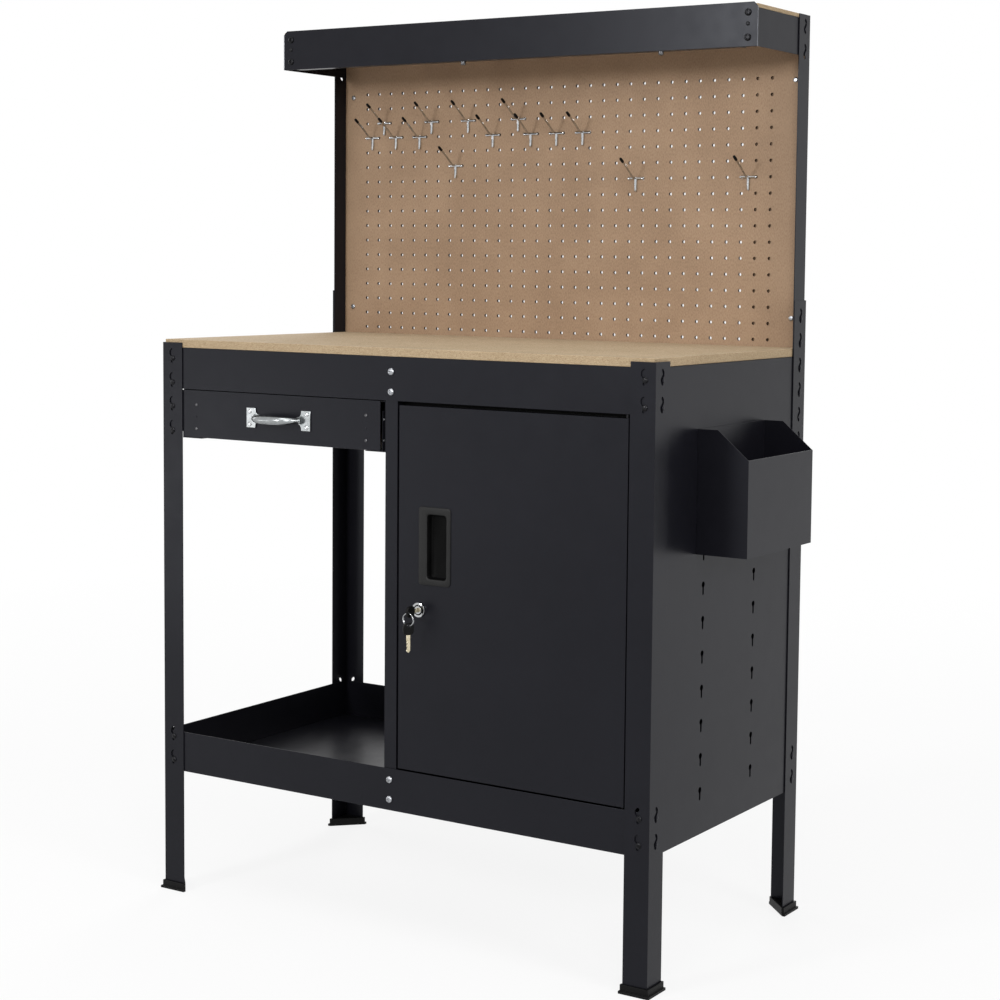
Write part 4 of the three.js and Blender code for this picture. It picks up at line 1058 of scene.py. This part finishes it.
def make_keys():
    """The key in the lock, a split ring through its hole, and a spare key on the ring."""
    key_low, key_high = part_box("key")
    ring_low, ring_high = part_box("key_ring")
    middle_x = (key_low.x + key_high.x) / 2
    ring_at = (ring_low + ring_high) / 2
    hole = Vector((middle_x, ring_at.y, (key_low.z + key_high.z) / 2))
    make_key("key", "key", "lock", hole, Y, Z)
    spare_hole = Vector((middle_x, ring_at.y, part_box("spare_key")[1].z - KEY_HOLE_R))
    twist = math.radians(SPARE_TWIST_DEG)
    spare_across = Y * math.cos(twist) + X * math.sin(twist)
    make_key("spare_key", "spare_key", "spare_key", spare_hole, -Z, spare_across)

    radius = (ring_high.x - ring_low.x) / 2 - RING_WIRE_R
    path = []
    for i in range(RING_TURNS * RING_STEPS + 1):
        turns = i / RING_STEPS
        angle = 2 * math.pi * turns
        along = (turns - RING_TURNS / 2) * RING_PITCH
        path.append(ring_at + X * (radius * math.cos(angle)) + Z * (radius * math.sin(angle)) + Y * along)
    bm = bmesh.new()
    tube(bm, path, lambda t: RING_WIRE_R, RING_SIDES)
    ring = piece("split_ring", bm, CHROME, "key_ring")
    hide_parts("key_ring")


# Stage

def backdrop_rays(tree):
    """1 for the rays that show the backdrop: straight to the camera, mirrored, or through glass."""
    path = add_node(tree, "LightPath")
    shown = path.outputs["Is Camera Ray"]
    for ray in ("Is Glossy Ray", "Is Transmission Ray"):
        shown = add_node(tree, "Math", {0: shown, 1: path.outputs[ray]}, operation="MAXIMUM").outputs[0]
    return shown


def make_floor():
    """A pale floor that shows white, and keeps the soft shadow near the bench."""
    bm = bmesh.new()
    bmesh.ops.create_grid(bm, x_segments=1, y_segments=1, size=FLOOR_HALF)
    mesh = bpy.data.meshes.new("floor")
    bm.to_mesh(mesh)
    bm.free()
    floor = add_object("floor", mesh)
    floor.location.z = -FLOOR_DROP
    material = bpy.data.materials.new("floor_white")
    material.use_nodes = True
    tree = material.node_tree
    tree.nodes.clear()
    shadowed = add_node(tree, "BsdfDiffuse", {"Color": FLOOR_GREY})
    white = add_node(tree, "Emission", {"Color": WHITE, "Strength": WHITE_STRENGTH})
    place = add_node(tree, "TexCoord").outputs["Object"]
    away = add_node(tree, "VectorMath", {0: place}, operation="LENGTH").outputs["Value"]
    share = add_node(tree, "MapRange", {
        "Value": away, "From Min": FLOOR_NEAR, "From Max": FLOOR_FAR,
        "To Min": FLOOR_WHITE_SHARE, "To Max": 1.0}).outputs["Result"]
    shown = add_node(tree, "Math", {0: backdrop_rays(tree), 1: share}, operation="MULTIPLY").outputs[0]
    mix = add_node(tree, "MixShader", {0: shown, 1: shadowed.outputs[0], 2: white.outputs[0]})
    add_node(tree, "OutputMaterial", {"Surface": mix.outputs[0]})
    mesh.materials.append(material)


def make_world():
    """White as a backdrop, and a soft grey fill for everything else."""
    world = bpy.data.worlds.new("studio")
    bpy.context.scene.world = world
    world.use_nodes = True
    tree = world.node_tree
    tree.nodes.clear()
    fill = add_node(tree, "Background", {"Color": WHITE, "Strength": WORLD_FILL})
    white = add_node(tree, "Background", {"Color": WHITE, "Strength": WHITE_STRENGTH})
    mix = add_node(tree, "MixShader", {0: backdrop_rays(tree), 1: fill.outputs[0], 2: white.outputs[0]})
    add_node(tree, "OutputWorld", {"Surface": mix.outputs[0]})


def make_lamps():
    """Soft square lamps, each turned to its aim and hidden from the camera."""
    for name, at, aim, size, watts in LAMPS:
        data = bpy.data.lights.new(name, "AREA")
        data.shape = "SQUARE"
        data.size = size
        data.energy = watts
        lamp = add_object(name, data)
        lamp.location = at
        lamp.rotation_mode = "QUATERNION"
        lamp.rotation_quaternion = (Vector(aim) - Vector(at)).to_track_quat("-Z", "Y")
        lamp.visible_camera = False


def make_camera():
    """The photograph's camera, with its principal point off the middle of the frame."""
    data = bpy.data.cameras.new("camera")
    data.sensor_width = SENSOR_MM
    data.lens = SENSOR_MM * FOCAL_PX / IMAGE_PX
    data.shift_x = 0.5 - CENTRE_PX[0] / IMAGE_PX
    data.shift_y = CENTRE_PX[1] / IMAGE_PX - 0.5
    camera = add_object("camera", data)
    turn = (
        Matrix.Rotation(CAMERA_YAW, 4, "Z")
        @ Matrix.Rotation(math.pi / 2 + CAMERA_PITCH, 4, "X")
        @ Matrix.Rotation(-CAMERA_ROLL, 4, "Z")
    )
    camera.matrix_world = Matrix.Translation(CAMERA_AT) @ turn
    bpy.context.scene.camera = camera


make_camera()
make_world()
make_lamps()
make_floor()
dress_nodes()
make_pegboard()
make_back_strip()
make_hooks()
make_post_bolts()
make_slot_rivets()
make_shelf_fasteners()
make_pegboard_screws()
make_drawer_fasteners()
make_pull()
make_handle()
make_drawer_fold()
make_door_stop()
make_divider_foot()
make_lock_face()
make_keys()
bpy.context.scene.view_settings.view_transform = "Standard"
